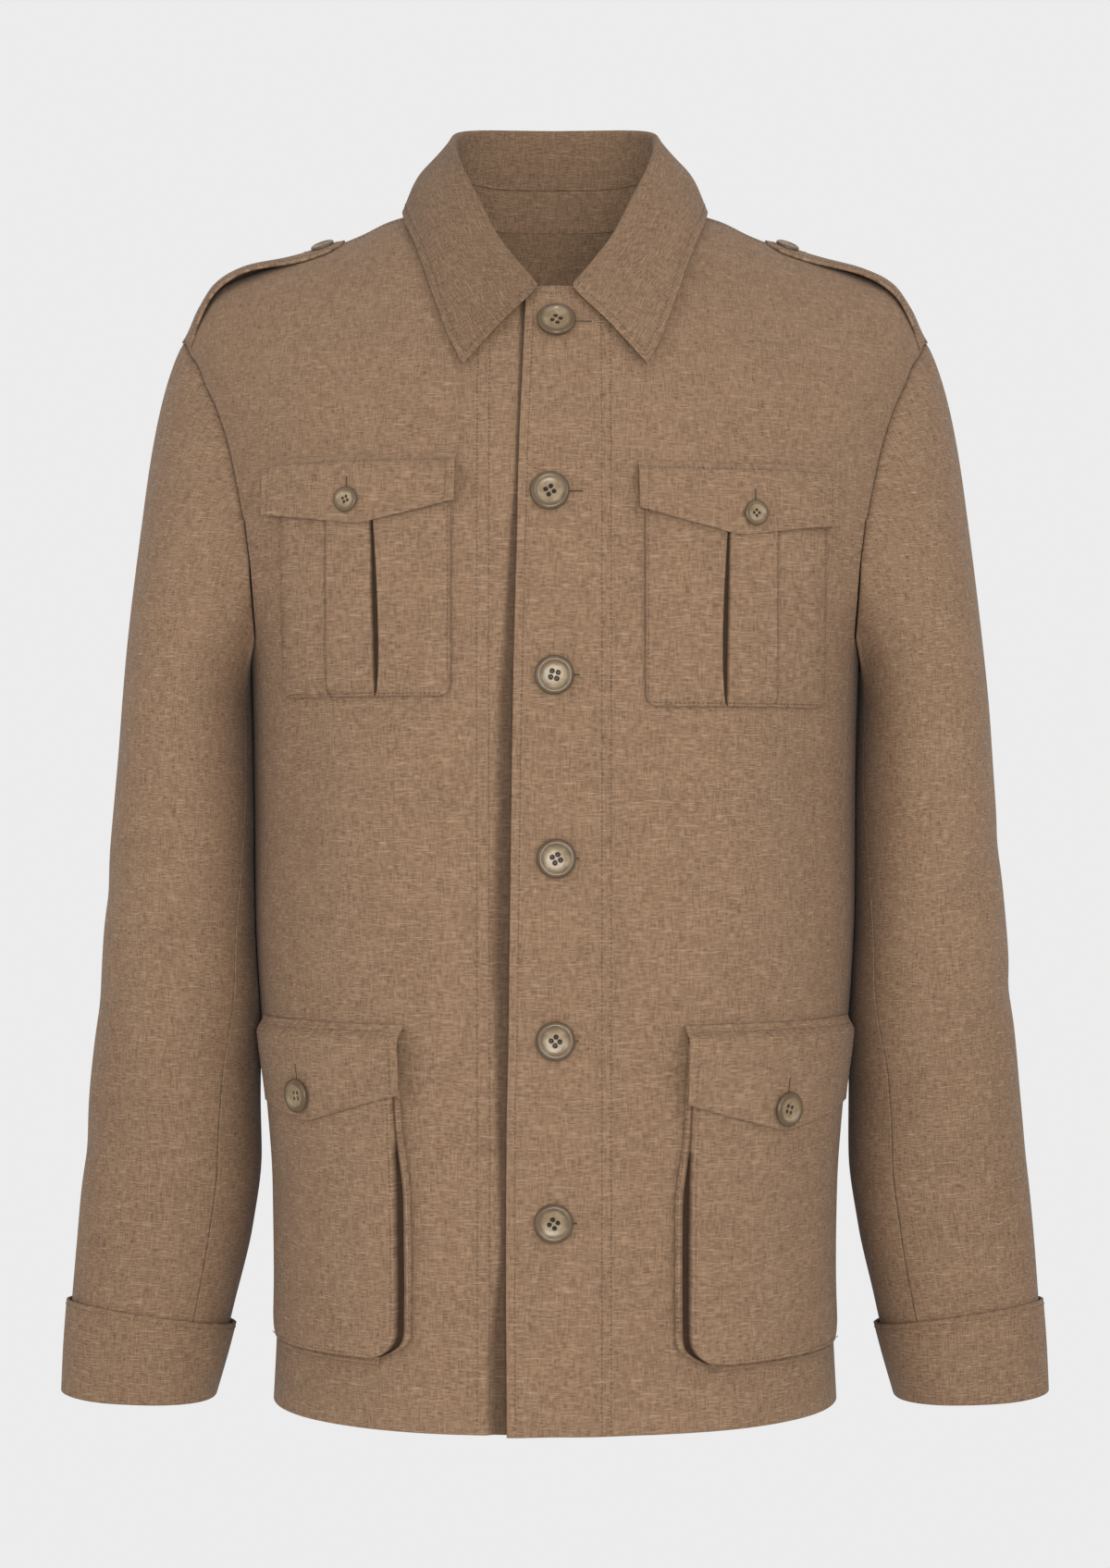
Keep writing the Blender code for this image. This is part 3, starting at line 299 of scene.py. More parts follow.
def centreEdge(z, side):
    # how far a front reaches past the middle
    return smooth(edgeTable[:, 0], edgeTable[:, 1], -z) if side > 0 else form["underEdge"] + 0 * z


def lapLift(x, side):
    # the upper front lies a lap higher near the middle, falling by a smooth step
    return form["lap"] * (1 - stepUp(*form["lapWidth"], x)) if side > 0 else 0 * x


def roundCorner(height, radius):
    # what a quarter circle takes off at a height: r - sqrt(r^2 - (r - height)^2)
    rest = np.clip(radius - height, 0, radius)
    return radius - np.sqrt(radius ** 2 - rest ** 2)


def arcs(points, axis):
    # length of cloth from the first row or column, along the other axis
    step = np.linalg.norm(np.diff(points, axis=axis), axis=-1)
    first = np.zeros_like(np.take(step, [0], axis))
    return np.concatenate([first, np.cumsum(step, axis)], axis)


# shader graphs

class Value:
    # a socket that adds, multiplies and so on like a number, on either side of the sign
    def __init__(self, graph, socket):
        self.graph = graph
        self.socket = socket

    def __add__(self, other):
        return self.graph.math("ADD", self, other)

    def __radd__(self, other):
        return self.graph.math("ADD", other, self)

    def __sub__(self, other):
        return self.graph.math("SUBTRACT", self, other)

    def __rsub__(self, other):
        return self.graph.math("SUBTRACT", other, self)

    def __mul__(self, other):
        return self.graph.math("MULTIPLY", self, other)

    def __rmul__(self, other):
        return self.graph.math("MULTIPLY", other, self)

    def __truediv__(self, other):
        return self.graph.math("DIVIDE", self, other)

    def __rtruediv__(self, other):
        return self.graph.math("DIVIDE", other, self)

    def __neg__(self):
        return self.graph.math("MULTIPLY", self, -1.0)


class Graph:
    # a material's node tree, with a short call for each kind of node used here
    def __init__(self, name):
        self.material = bpy.data.materials.new(name)
        self.material.use_nodes = True
        self.tree = self.material.node_tree
        self.tree.nodes.clear()
        self.output = self.tree.nodes.new("ShaderNodeOutputMaterial")

    def node(self, kind, settings=None, inputs=None):
        # a new node; an input takes a link from a Value and a plain value otherwise
        made = self.tree.nodes.new(kind)
        for key, value in (settings or {}).items():
            setattr(made, key, value)
        for key, value in (inputs or {}).items():
            if isinstance(value, Value):
                self.tree.links.new(value.socket, made.inputs[key])
            else:
                made.inputs[key].default_value = value
        return made

    def value(self, kind, settings=None, inputs=None, out=0):
        # one output of a new node
        return Value(self, self.node(kind, settings, inputs).outputs[out])

    def math(self, kind, *inputs):
        return self.value("ShaderNodeMath", {"operation": kind}, dict(enumerate(inputs)))

    def clamp(self, value):
        return self.value("ShaderNodeClamp", None, {0: value})

    def ramp(self, value, start, gain):
        # (value - start) * gain, kept between 0 and 1
        return self.clamp((value - start) * gain)

    def attribute(self, name):
        # what makeMesh stored at the points under this name
        return self.value("ShaderNodeAttribute", {"attribute_name": name}, None, 2)

    def noise(self, vector, scale, detail, offset):
        # noise of the vector scaled and moved
        moved = self.value("ShaderNodeVectorMath", {"operation": "MULTIPLY_ADD"},
                           {0: vector, 1: scale, 2: (offset, offset * 1.7, offset)})
        return self.value("ShaderNodeTexNoise", None, {"Vector": moved, "Scale": 1.0, "Detail": detail})

    def mix(self, share, first, second):
        # first * (1 - share) + second * share, on colours
        made = self.node("ShaderNodeMix", {"data_type": "RGBA"}, {0: share, 6: first, 7: second})
        return Value(self, made.outputs[2])

    def bump(self, height):
        # the normal of a height in metres
        return self.value("ShaderNodeBump", None, {"Strength": 1.0, "Distance": 1.0, "Height": height})

    def surface(self, inputs):
        shader = self.node("ShaderNodeBsdfPrincipled", None, inputs)
        self.tree.links.new(shader.outputs[0], self.output.inputs["Surface"])
        return self.material


clothLook = dict(
    dark=(0.080, 0.045, 0.026, 1), light=(0.297, 0.189, 0.116, 1), slub=(0.420, 0.305, 0.208, 1),
    deep=(0.018, 0.009, 0.005, 1), roughness=0.88, sheen=0.05, sheenRoughness=0.45, shine=0.15,
    twill=0.00115, waver=2.4, groove=0.0005, grooveDepth=0.00014, slubRamp=(0.60, 7.0),
    # shares: thick yarn colour, painted shade in the stitch grooves, painted shade from the attribute
    shares=dict(slub=0.38, groove=0.05, deep=0.85),
    noises=dict(   # scale, detail and offset
        weft=((230.0, 2300.0, 0.0), 1.0, 3.1), slub=((100.0, 2000.0, 0.0), 0.5, 7.7),
        warp=((2000.0, 150.0, 0.0), 1.0, 11.3), flecks=((1400.0, 1500.0, 0.0), 1.0, 17.9),
        cloudy=((26.0, 40.0, 0.0), 3.0, 23.0), bands=((9.0, 240.0, 0.0), 1.0, 29.0)),
    tone=dict(weft=1.35, warp=0.95, flecks=0.55, twill=0.11, cloudy=0.15, bands=0.10),
    height=dict(twill=0.00003, weft=0.00010, warp=0.00005, thick=0.00005))


def clothMaterial(name, look):
    # tone: a weighted sum of yarn streaks, flecks and the twill's sine; over it come thick yarns,
    # grooves at the stitches, exp(-(distance / width)^2), darkened as painted shade, and painted shade from a
    # per-point attribute
    g = Graph(name)
    uv = g.value("ShaderNodeUVMap", {"uv_map": "weave"})
    parts = g.node("ShaderNodeSeparateXYZ", None, {0: uv})
    across, along = Value(g, parts.outputs[0]), Value(g, parts.outputs[1])
    deep = g.attribute("deep")
    part = {key: g.noise(uv, *row) for key, row in look["noises"].items()}
    phase = (across + along) * (2 * math.pi / look["twill"]) + part["flecks"] * look["waver"]
    part["twill"] = g.math("SINE", phase)
    part["thick"] = g.ramp(part["slub"], *look["slubRamp"])
    tone = 0.5
    for key, weight in look["tone"].items():
        tone = tone + (part[key] if key == "twill" else part[key] - 0.5) * weight
    lines = []
    for key in ("stitchA", "stitchB", "stitchC"):
        away = g.attribute(key) / look["groove"]
        lines.append(g.math("EXPONENT", -(away * away)))
    groove = g.math("MAXIMUM", g.math("MAXIMUM", lines[0], lines[1]), lines[2])
    shares = look["shares"]
    colour = g.mix(g.clamp(tone), look["dark"], look["light"])
    colour = g.mix(part["thick"] * shares["slub"], colour, look["slub"])
    # painted shade in the stitch grooves
    colour = g.mix(groove * shares["groove"], colour, look["dark"])
    # painted shade from the per-point attribute, mixed towards a near-black brown
    colour = g.mix(deep * shares["deep"], colour, look["deep"])
    height = sum(part[key] * high for key, high in look["height"].items()) - groove * look["grooveDepth"]
    return g.surface({
        "Base Color": colour, "Roughness": look["roughness"], "Sheen Weight": look["sheen"],
        "Sheen Roughness": look["sheenRoughness"], "Specular IOR Level": look["shine"],
        "Normal": g.bump(height)})


threadLook = dict(dark=(0.062, 0.034, 0.020, 1), light=(0.150, 0.092, 0.056, 1), roughness=0.65)
wrapLook = dict(dark=(0.150, 0.092, 0.052, 1), light=(0.330, 0.222, 0.138, 1), roughness=0.62)
# near-black thread look used as painted shade for the buttonhole slits
slitShadeLook = dict(dark=(0.018, 0.012, 0.008, 1), light=(0.060, 0.040, 0.026, 1), roughness=0.9)
plyLook = dict(noise=((1800.0, 1800.0, 1800.0), 1.0, 2.0), contrast=1.8, high=0.00008, shine=0.3)


def threadMaterial(name, look):
    # two tones and a bump from one fine noise, the twist of the ply
    g = Graph(name)
    place = g.value("ShaderNodeTexCoord", None, None, 3)
    ply = g.noise(place, *plyLook["noise"])
    colour = g.mix(g.clamp((ply - 0.5) * plyLook["contrast"] + 0.5), look["dark"], look["light"])
    return g.surface({
        "Base Color": colour, "Roughness": look["roughness"], "Specular IOR Level": plyLook["shine"],
        "Normal": g.bump(ply * plyLook["high"])})


# the hole colour is painted shade for the buttons' through-holes
hornLook = dict(
    rim=(0.062, 0.035, 0.014, 1), dish=(0.165, 0.112, 0.058, 1), pale=(0.262, 0.198, 0.119, 1),
    vein=(0.085, 0.052, 0.026, 1), hole=(0.010, 0.006, 0.004, 1), roughness=0.26, coat=0.15,
    coatRoughness=0.12, shine=0.35, warpScale=140.0, warpReach=0.012,
    cloudNoise=((150.0, 150.0, 190.0), 4.0, 5.0), veinNoise=((260.0, 90.0, 420.0), 3.0, 9.0),
    cloudRamp=(0.42, 4.0), veinRamp=(0.55, 3.0), veinShare=0.45, rimRamp=(0.66, 9.0), rimShare=0.85,
    ring=0.675, ringWidth=0.035, cloudRough=0.12, holeRough=0.4, cloudHigh=0.00012, veinHigh=0.00004)


def hornMaterial(name, look):
    # clouds and warped veins, a darker rim outside a share of the radius, and one thin dark ring,
    # exp(-((radius - place) / width)^2)
    g = Graph(name)
    place = g.value("ShaderNodeTexCoord", None, None, 3)
    radius, hole = g.attribute("radius"), g.attribute("hole")
    clouds = g.noise(place, *look["cloudNoise"])
    turbulence = g.value("ShaderNodeTexNoise", None,
                         {"Vector": place, "Scale": look["warpScale"], "Detail": 2.0}, 1)
    warped = g.value("ShaderNodeVectorMath", {"operation": "MULTIPLY_ADD"},
                     {0: turbulence, 1: (look["warpReach"],) * 3, 2: place})
    veins = g.noise(warped, *look["veinNoise"])
    body = g.mix(g.ramp(clouds, *look["cloudRamp"]), look["dish"], look["pale"])
    body = g.mix(g.ramp(veins, *look["veinRamp"]) * look["veinShare"], body, look["vein"])
    ring = (radius - look["ring"]) / look["ringWidth"]
    colour = g.mix(g.ramp(radius, *look["rimRamp"]) * look["rimShare"], body, look["rim"])
    colour = g.mix(g.math("EXPONENT", -(ring * ring)) * look["veinShare"], colour, look["vein"])
    # painted shade: the hole dimples are shallow, and their near-black stands for the shade in through-holes
    colour = g.mix(hole, colour, look["hole"])
    rough = look["roughness"] + clouds * look["cloudRough"] + hole * look["holeRough"]
    return g.surface({
        "Base Color": colour, "Roughness": rough, "Coat Weight": look["coat"],
        "Coat Roughness": look["coatRoughness"], "Specular IOR Level": look["shine"],
        "Normal": g.bump(clouds * look["cloudHigh"] + veins * look["veinHigh"])})


cloth = clothMaterial("twillCloth", clothLook)
thread = threadMaterial("sewingThread", threadLook)
wrapping = threadMaterial("buttonholeThread", wrapLook)
slitShade = threadMaterial("buttonholeSlitShade", slitShadeLook)
horn = hornMaterial("marbledHorn", hornLook)
print("materials made")


# meshes

def makeMesh(name, points, quads, material, uv=None, floats=None):
    # a smooth mesh of quads with its weave coordinates and its values for the shader
    mesh = bpy.data.meshes.new(name)
    mesh.vertices.add(len(points))
    mesh.vertices.foreach_set("co", points.astype(np.float32).ravel())
    mesh.loops.add(quads.size)
    mesh.loops.foreach_set("vertex_index", quads.astype(np.int32).ravel())
    mesh.polygons.add(len(quads))
    mesh.polygons.foreach_set("loop_start", np.arange(0, quads.size, 4, dtype=np.int32))
    mesh.update(calc_edges=True)
    mesh.polygons.foreach_set("use_smooth", np.ones(len(quads), bool))
    if uv is not None:
        layer = mesh.uv_layers.new(name="weave")
        layer.data.foreach_set("uv", uv[quads.ravel()].astype(np.float32).ravel())
    for key, values in (floats or {}).items():
        mesh.attributes.new(key, "FLOAT", "POINT").data.foreach_set("value", values.astype(np.float32))
    mesh.materials.append(material)
    made = bpy.data.objects.new(name, mesh)
    bpy.context.scene.collection.objects.link(made)
    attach(made, "root")
    return made


def withRim(data, rim, closed):
    # one more row beside each edge, a rim's width in, so that the rounding stays narrow
    def between(edge, inward):
        gap = np.linalg.norm((inward - edge)[..., :3], axis=-1, keepdims=True)
        return edge + (inward - edge) * np.clip(rim / np.maximum(gap, 1e-9), 0.05, 0.6)
    first, last = between(data[0], data[1]), between(data[-1], data[-2])
    data = np.concatenate([data[:1], first[None], data[1:-1], last[None], data[-1:]])
    if closed:
        return data
    return np.swapaxes(withRim(np.swapaxes(data, 0, 1), rim, True), 0, 1)


def drawnIn(data, amount, closed):
    # the outer and inner edge points moved in along the cloth
    moved = data.copy()
    for here, inward in ((0, 1), (-1, -2)):
        for part in (slice(0, 3), slice(3, 6)):
            moved[here, :, part] += amount * unit(data[inward, :, part] - data[here, :, part])
            if not closed:
                moved[:, here, part] += amount * unit(data[:, inward, part] - data[:, here, part])
    return moved


def nodeName(name):
    # frontLeft stands for front_left, frontButton1 for front_button_1
    return "".join("_" + sign.lower() if sign.isupper() or sign.isdigit() else sign for sign in name)


def clothPiece(name, outer, inner, uv, lines=(), closed=False, held="hung", on=(),
               rim=0.0012, rounding=0.00035, deep=0.0):
    # a closed wall: outer and inner grid, joined round the edges by a strip bent at mid thickness
    stitches = [np.broadcast_to(v, outer.shape[:2]) for v in lines]
    stitches += [np.full(outer.shape[:2], noStitch)] * (3 - len(stitches))
    # the last value is the painted shade that the cloth material mixes into its colour
    stitches.append(np.broadcast_to(deep, outer.shape[:2]))
    data = np.concatenate([outer, inner, uv, np.stack(stitches, -1)], -1)
    data = withRim(data, rim, closed)
    moved = drawnIn(data, rounding, closed)
    rows, columns = data.shape[:2]
    number = np.arange(rows * columns).reshape(rows, columns)
    back = rows * columns
    if closed:
        number = np.concatenate([number, number[:, :1]], 1)
        loops = [number[0], number[-1][::-1]]
    else:
        loops = [np.concatenate([number[0, :-1], number[:-1, -1], number[-1, :0:-1],
                                 number[:0:-1, 0], number[:1, 0]])]
    front = np.stack([number[:-1, :-1], number[:-1, 1:], number[1:, 1:], number[1:, :-1]], -1)
    rear = np.stack([number[:-1, :-1], number[1:, :-1], number[1:, 1:], number[:-1, 1:]], -1) + back
    quads = [front.reshape(-1, 4), rear.reshape(-1, 4)]
    flat = data.reshape(-1, data.shape[-1])
    edges, start = [], 2 * back
    for loop in loops:
        middle = start + np.append(np.arange(len(loop) - 1), 0)
        edges.append(flat[loop[:-1]])
        start += len(loop) - 1
        a, b, m, n = loop[:-1], loop[1:], middle[:-1], middle[1:]
        quads.append(np.stack([b, a, m, n], -1))
        quads.append(np.stack([n, m, a + back, b + back], -1))
    quads = np.concatenate(quads)
    edges = np.concatenate(edges)
    points = np.concatenate([moved[..., :3].reshape(-1, 3), moved[..., 3:6].reshape(-1, 3),
                             (edges[:, :3] + edges[:, 3:6]) / 2])
    corner = points[quads[:len(front.reshape(-1, 4))]]
    facing = np.cross(corner[:, 1] - corner[:, 0], corner[:, 3] - corner[:, 0])
    outward = (data[..., :3] - data[..., 3:6])[:-1, :][:, :front.shape[1]].reshape(-1, 3)
    if np.sum(facing * outward) < 0:
        quads = quads[:, ::-1]
    extra = np.concatenate([flat[:, 6:], flat[:, 6:], edges[:, 6:]])
    made = makeMesh(name, points, quads, cloth, extra[:, :2],
                    dict(stitchA=extra[:, 2], stitchB=extra[:, 3], stitchC=extra[:, 4], deep=extra[:, 5]))
    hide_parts(nodeName(name))
    area = float(np.linalg.norm(facing, axis=-1).sum())
    across, along = arcs(outer, 1)[:, -1].max(), arcs(outer, 0)[-1].max()
    if closed:
        across += np.linalg.norm(outer[:, -1] - outer[:, 0], axis=-1).max()
    sheets.append(dict(piece=made, area=area, flat=(float(across), float(along)), held=held, on=list(on)))


sheets = []
sewing = {}   # points and quads of the stitches, by group


def gridNormal(points, outward, closed=False):
    # cross product of the steps round and along the grid, turned to face outward
    around = np.roll(points, -1, 1) - np.roll(points, 1, 1) if closed else np.gradient(points, axis=1)
    normal = unit(np.cross(around, np.gradient(points, axis=0)))
    return normal * np.sign(np.sum(normal * outward))


def gridUv(points, column=0, row=0):
    # lengths of cloth from one column and from one row
    u, v = arcs(points, 1), arcs(points, 0)
    return np.stack([u - u[:, column][:, None], v - v[row][None]], -1)


# sewing

def along(points, normals, places):
    # points and normals at lengths along a polyline
    length = arcs(points, 0)
    spots, facings = [np.stack([np.interp(places, length, grid[:, k]) for k in range(3)], -1)
                      for grid in (points, normals)]
    return spots, unit(facings)


stitchShape = dict(pitch=0.0028, length=0.0014, width=0.00052, high=0.00018, sunk=0.00022)


def addBeads(group, start, end, normal, width, high, sunk):
    # five stations of a four-sided thread, whose ends dip into the cloth
    share = np.array([0.0, 0.2, 0.5, 0.8, 1.0])
    rise = np.array([-sunk, high * 0.7, high, high * 0.7, -sunk])
    full = np.array([0.45, 1.0, 1.0, 1.0, 0.45]) * width / 2
    line = start[:, None] + (end - start)[:, None] * share[:, None]
    across = unit(np.cross(end - start, normal))[:, None, None]
    up = normal[:, None, None]
    ring = np.array([(-1.0, 0.0), (0.0, 0.75), (1.0, 0.0), (0.0, -0.75)])
    points = line[:, :, None] + across * (ring[:, 0] * full[:, None])[None, ..., None]
    points = points + up * (rise[:, None] + ring[:, 1] * full[:, None])[None, ..., None]
    count = len(start)
    station, side = np.meshgrid(np.arange(4), np.arange(4), indexing="ij")
    other = (side + 1) % 4
    quad = np.stack([station * 4 + side, station * 4 + other, station * 4 + 4 + other,
                     station * 4 + 4 + side], -1)
    quads = quad.reshape(1, -1, 4) + 20 * np.arange(count)[:, None, None]
    store = sewing.setdefault(group, [[], [], 0])
    store[0].append(points.reshape(-1, 3))
    store[1].append(quads.reshape(-1, 4) + store[2])
    store[2] += 20 * count


def sewLine(group, points, normals, skip=(0.0, 0.0)):
    # stitches of one length at one pitch along a polyline, less what is skipped at its ends
    shape = stitchShape
    total = arcs(points, 0)[-1] - skip[0] - skip[1]
    count = max(int(total / shape["pitch"]), 1)
    centre = skip[0] + (np.arange(count) + 0.5) * total / count
    start, _ = along(points, normals, centre - shape["length"] / 2)
    end, _ = along(points, normals, centre + shape["length"] / 2)
    _, normal = along(points, normals, centre)
    addBeads(group, start, end, normal, shape["width"], shape["high"], shape["sunk"])


def insetLine(points, normals, side, offset):
    # the line that lies an offset in from one side of a grid, by linear interpolation
    if side in ("bottom", "top"):
        points, normals = np.swapaxes(points, 0, 1), np.swapaxes(normals, 0, 1)
    if side in ("right", "top"):
        points, normals = points[:, ::-1], normals[:, ::-1]
    length = arcs(points, 1)
    index = np.clip((length < offset).sum(1) - 1, 0, points.shape[1] - 2)
    row = np.arange(len(points))
    low, high = length[row, index], length[row, index + 1]
    share = np.clip((offset - low) / np.maximum(high - low, 1e-9), 0, 1)[:, None]
    spot = points[row, index] * (1 - share) + points[row, index + 1] * share
    normal = normals[row, index] * (1 - share) + normals[row, index + 1] * share
    return spot, unit(normal)


def sewEdge(group, points, normals, side, offset, skip=(0.0, 0.0)):
    # a row of stitches an offset in from one side of a grid
    spot, facing = insetLine(points, normals, side, offset)
    sewLine(group, spot, facing, skip)


holeShape = dict(pitch=0.00055, width=0.00050, high=0.00016, sunk=0.0002, reach=0.0012, slit=0.00028,
                 overlap=0.4, above=0.00022, bar=0.0015, barWidth=0.0008, barHigh=0.0003,
                 barAt=(-0.0010, -0.0004, 0.0004, 0.0010))
# each strip is painted shade laid over a buttonhole's slit
slitShadeStrips = []   # strips of points, one for each buttonhole


def buttonhole(points, normals):
    # thread wrapped over both lips of a slit, a bar at each end, and a near-black strip of painted shade for
    # the slit between
    shape = holeShape
    total = arcs(points, 0)[-1]
    count = int(total / shape["pitch"])
    centre, normal = along(points, normals, (np.arange(count) + 0.5) * total / count)
    ahead = unit(np.gradient(centre, axis=0))
    across = unit(np.cross(ahead, normal))
    for sign in (-1, 1):
        near = centre + across * sign * shape["slit"] * shape["overlap"]
        far = centre + across * sign * (shape["slit"] + shape["reach"])
        addBeads("buttonholeThread", near, far, normal, shape["width"], shape["high"], shape["sunk"])
    ends = np.array([0, 0, -1, -1])
    spot = centre[ends] + ahead[ends] * np.array(shape["barAt"])[:, None]
    reach = across[ends] * shape["bar"]
    addBeads("buttonholeThread", spot - reach, spot + reach, normal[ends], shape["barWidth"],
             shape["barHigh"], shape["sunk"])
    # a near-black strip of painted shade just above the slit
    wide, above = across * shape["slit"], normal * shape["above"]
    slitShadeStrips.append(np.stack([centre - wide + above, centre + wide + above], 1))


# fronts

frontLook = dict(step=0.0036, edge=0.0052, thick=0.0018, curl=0.0030, curlRows=(-0.25, -0.72),
                 curlWidth=0.030, corner=0.0055, hollow=0.30, lip=(0.003, 0.004),
                 shade=0.72, shadeWidth=(0.62, 1.30), topStitch=(-0.063, 0.030), rowTop=0.50,
                 columns={1: (0.04, 8), -1: (0.30, 60)},
                 rows={1: (0.0270, 0.0324), -1: (0.0383, 0.0453)})


def frontMarks(step, depth=0.24):
    # row numbers of the table with fractions, so that the rows lie a step apart
    span = np.abs(np.diff(frontTable[:, 0]))
    length = np.where(frontTable[1:, 0] >= 1, span, span * depth)
    count = np.maximum(np.ceil(length / step), 1).astype(int)
    return np.concatenate([k + np.arange(n) / n for k, n in enumerate(count)] + [[len(count)]])


def frontLift(x, z, side, look):
    # the upper front stands clear and curls a little; the lower one sinks beside its edge, where a painted
    # shadow darkens it
    if side > 0:
        curl = stepUp(*look["curlRows"], z) * (1 - stepUp(0.0, look["curlWidth"], x + centreEdge(z, 1)))
        return lapLift(x, side) + look["curl"] * curl, 0.0
    wide = smooth(edgeTable[:, 0], edgeTable[:, 2], -z)
    beside = x - centreEdge(z, 1)
    start, end = look["shadeWidth"]
    # painted shadow of the upper front's edge on the lower front, widening towards the hem
    deep = look["shade"] * (1 - stepUp(wide * start, wide * end + 0.0006, beside)) * (z < -0.06)
    inside, outside = look["lip"]
    return -look["hollow"] * wide * (1 - stepUp(wide - inside, wide + outside, beside)), deep


def buildFront(side, word, look):
    # each row runs from the front edge or the neck seam to the armhole or side seam
    marks = frontMarks(look["step"])
    order = np.arange(len(frontTable))
    runIn = np.interp(marks, order, frontTable[:, 0])
    runSide = np.interp(marks, order, frontTable[:, 1])
    onNeck = marks >= firstNeckRow
    level = bodyPoint(0 * runIn, runIn)[:, 2]
    below = np.where(onNeck, 1.0, level[np.argmax(onNeck) - 1] - level)
    edge = -centreEdge(level, side) + roundCorner(np.abs(below), look["corner"])
    start = np.where(onNeck, neckX(runIn), edge)[:, None]
    end = armX(runSide)[:, None]
    dense, columns = look["columns"][side]
    share = np.concatenate([np.linspace(0, dense, columns, endpoint=False), np.linspace(dense, 1, 52)])
    x = start + (end - start) * share
    run = runIn[:, None] + (runSide - runIn)[:, None] * share
    lift, deep = frontLift(x, bodyPoint(x, run)[..., 2], side, look)
    outer, normal = onBody(side * x, run, lift)
    inner = outer - normal * look["thick"]
    turn = np.sin(np.clip(np.abs(run), 0, 1) * math.pi / 2)
    u = start + arcs(outer, 1)
    v = outer[..., 2] + overShoulder * (1 - turn)
    away = np.where(onNeck[:, None], noStitch, arcs(outer, 1) - look["edge"])
    first, second = look["rows"][side]
    lines = [away, x - first, x - second]
    clothPiece("front" + word, outer, inner,
               np.stack([side * u, v], -1), lines, on=["collarStand", "back"], deep=deep)
    group = "front" + word + "Stitching"
    spot, facing = insetLine(outer, normal, "left", look["edge"])
    keep = ~onNeck & (below > look["edge"])
    sewLine(group, spot[keep], facing[keep], (0.004, 0.0))
    zTop = level[np.argmax(onNeck) - 1] - look["edge"]
    level, reach = look["topStitch"]
    xTop = np.linspace(float(-centreEdge(np.array(level), side)) + look["edge"], reach, 12)
    spot, facing = onBody(side * xTop, runAt(xTop, np.full(12, zTop)), lapLift(xTop, side))
    sewLine(group, spot, facing)
    runs = np.linspace(1 + form["chest"] - form["hem"], look["rowTop"], 260)
    for row in (first, second):
        where = np.full(runs.shape, row)
        lift, _ = frontLift(where, bodyPoint(where, runs)[..., 2], side, look)
        spot, facing = onBody(side * where, runs, lift)
        sewLine(group, spot, facing, (0.002, 0.002))


bothSides = ((-1, "Right"), (1, "Left"))
for side, word in bothSides:
    buildFront(side, word, frontLook)
print("fronts built")


# side panels, back

sideLook = dict(columns=26, step=0.0042, thick=0.0018, straight=-0.303, seamDrop=0.068)


def sideTop(degrees):
    # the armhole's floor: a parabola from the underarm up to both side seams
    spread = (degrees - 90) / (90 - form["sideSeam"])
    return form["underarm"] + (form["chest"] - sideLook["seamDrop"] - form["underarm"]) * spread ** 2


def buildSide(side, word, look):
    # level rows up to the straight height, then rows that bend up to the armhole's floor
    degrees = np.linspace(form["sideSeam"], 180 - form["sideSeam"], look["columns"])
    low = np.arange(form["hem"], look["straight"], look["step"])[:, None] + 0 * degrees
    rest = np.linspace(0, 1, 8)[:, None]
    high = look["straight"] + (sideTop(degrees) - look["straight"]) * rest
    z = np.concatenate([low, high])
    outer, normal = onSide(side * np.broadcast_to(degrees, z.shape), z)
    inner = outer - normal * look["thick"]
    u = arcs(outer, 1)
    uv = np.stack([u + weaveStart["sidePanel"], outer[..., 2]], -1)
    clothPiece("sidePanel" + word, outer, inner, uv, on=["front" + word, "back"])


for side, word in bothSides:
    buildSide(side, word, sideLook)

backLook = dict(low=130, high=62, neck=24, outer=36, thick=0.0018, stitchRun=(0.012, 0.045),
                stitchEnds=(0.004, 0.006))


def buildBack(look):
    # rows across the whole back, bent above the armholes so that the last one is the neck and
    # shoulder seam; columns are shares of the half width
    low = np.linspace(-frontTable[0, 0], -1, look["low"])[:-1]
    right = np.concatenate([low, np.linspace(-1, form["shoulderSeam"], look["high"])])
    corner = float(neckX(form["shoulderSeam"]) / armX(form["shoulderSeam"]))
    neck = np.append(np.linspace(0, 0.97, look["neck"]), 0.995) * corner
    half = np.concatenate([neck, np.linspace(corner, 1, look["outer"])])
    top = np.full(half.shape, form["shoulderSeam"])
    for _ in range(30):
        top[:len(neck)] = neckRun(neck * armX(top[:len(neck)]))
    share = np.concatenate([-half[:0:-1], half])
    top = np.concatenate([top[:0:-1], top])
    scale = (top + 1) / (form["shoulderSeam"] + 1)
    run = np.where(right[:, None] > -1, -1 + (right[:, None] + 1) * scale, right[:, None])
    outer, normal = onBody(share[None] * armX(run), run)
    inner = outer - normal * look["thick"]
    middle = len(half) - 1
    turn = np.sin(np.clip(np.abs(run), 0, 1) * math.pi / 2)
    u = arcs(outer, 1)
    uv = np.stack([u - u[:, middle][:, None] + weaveStart["back"],
                   outer[..., 2] + overShoulder * (1 - turn)], -1)
    clothPiece("back", outer, inner, uv, on=["collarStand"])
    behind, ahead = look["stitchRun"]
    runs = np.full(40, form["shoulderSeam"] - behind) + ahead
    near, far = look["stitchEnds"]
    x = np.linspace(neckX(0.0) + near, armX(form["shoulderSeam"]) - far, 40)
    for side in (-1, 1):
        sewLine("shoulderStitching", *onBody(side * x, runs, 0.0))


buildBack(backLook)
print("back and sides built")


# sleeves and cuffs

# shade, shadeFrom, armhole and the band's width set the sleeves' painted shade
sleeveLook = dict(top=88, under=26, cap=44, step=0.0046, thick=0.0018, seam=0.0001, shade=0.11,
                  shadeFrom=(-0.42, -0.56), armhole=0.38, armholeShadeWidth=0.004, clear=0.0005, power=0.86,
                  tiltFrom=(0.45, 0.68), girth=0.062)


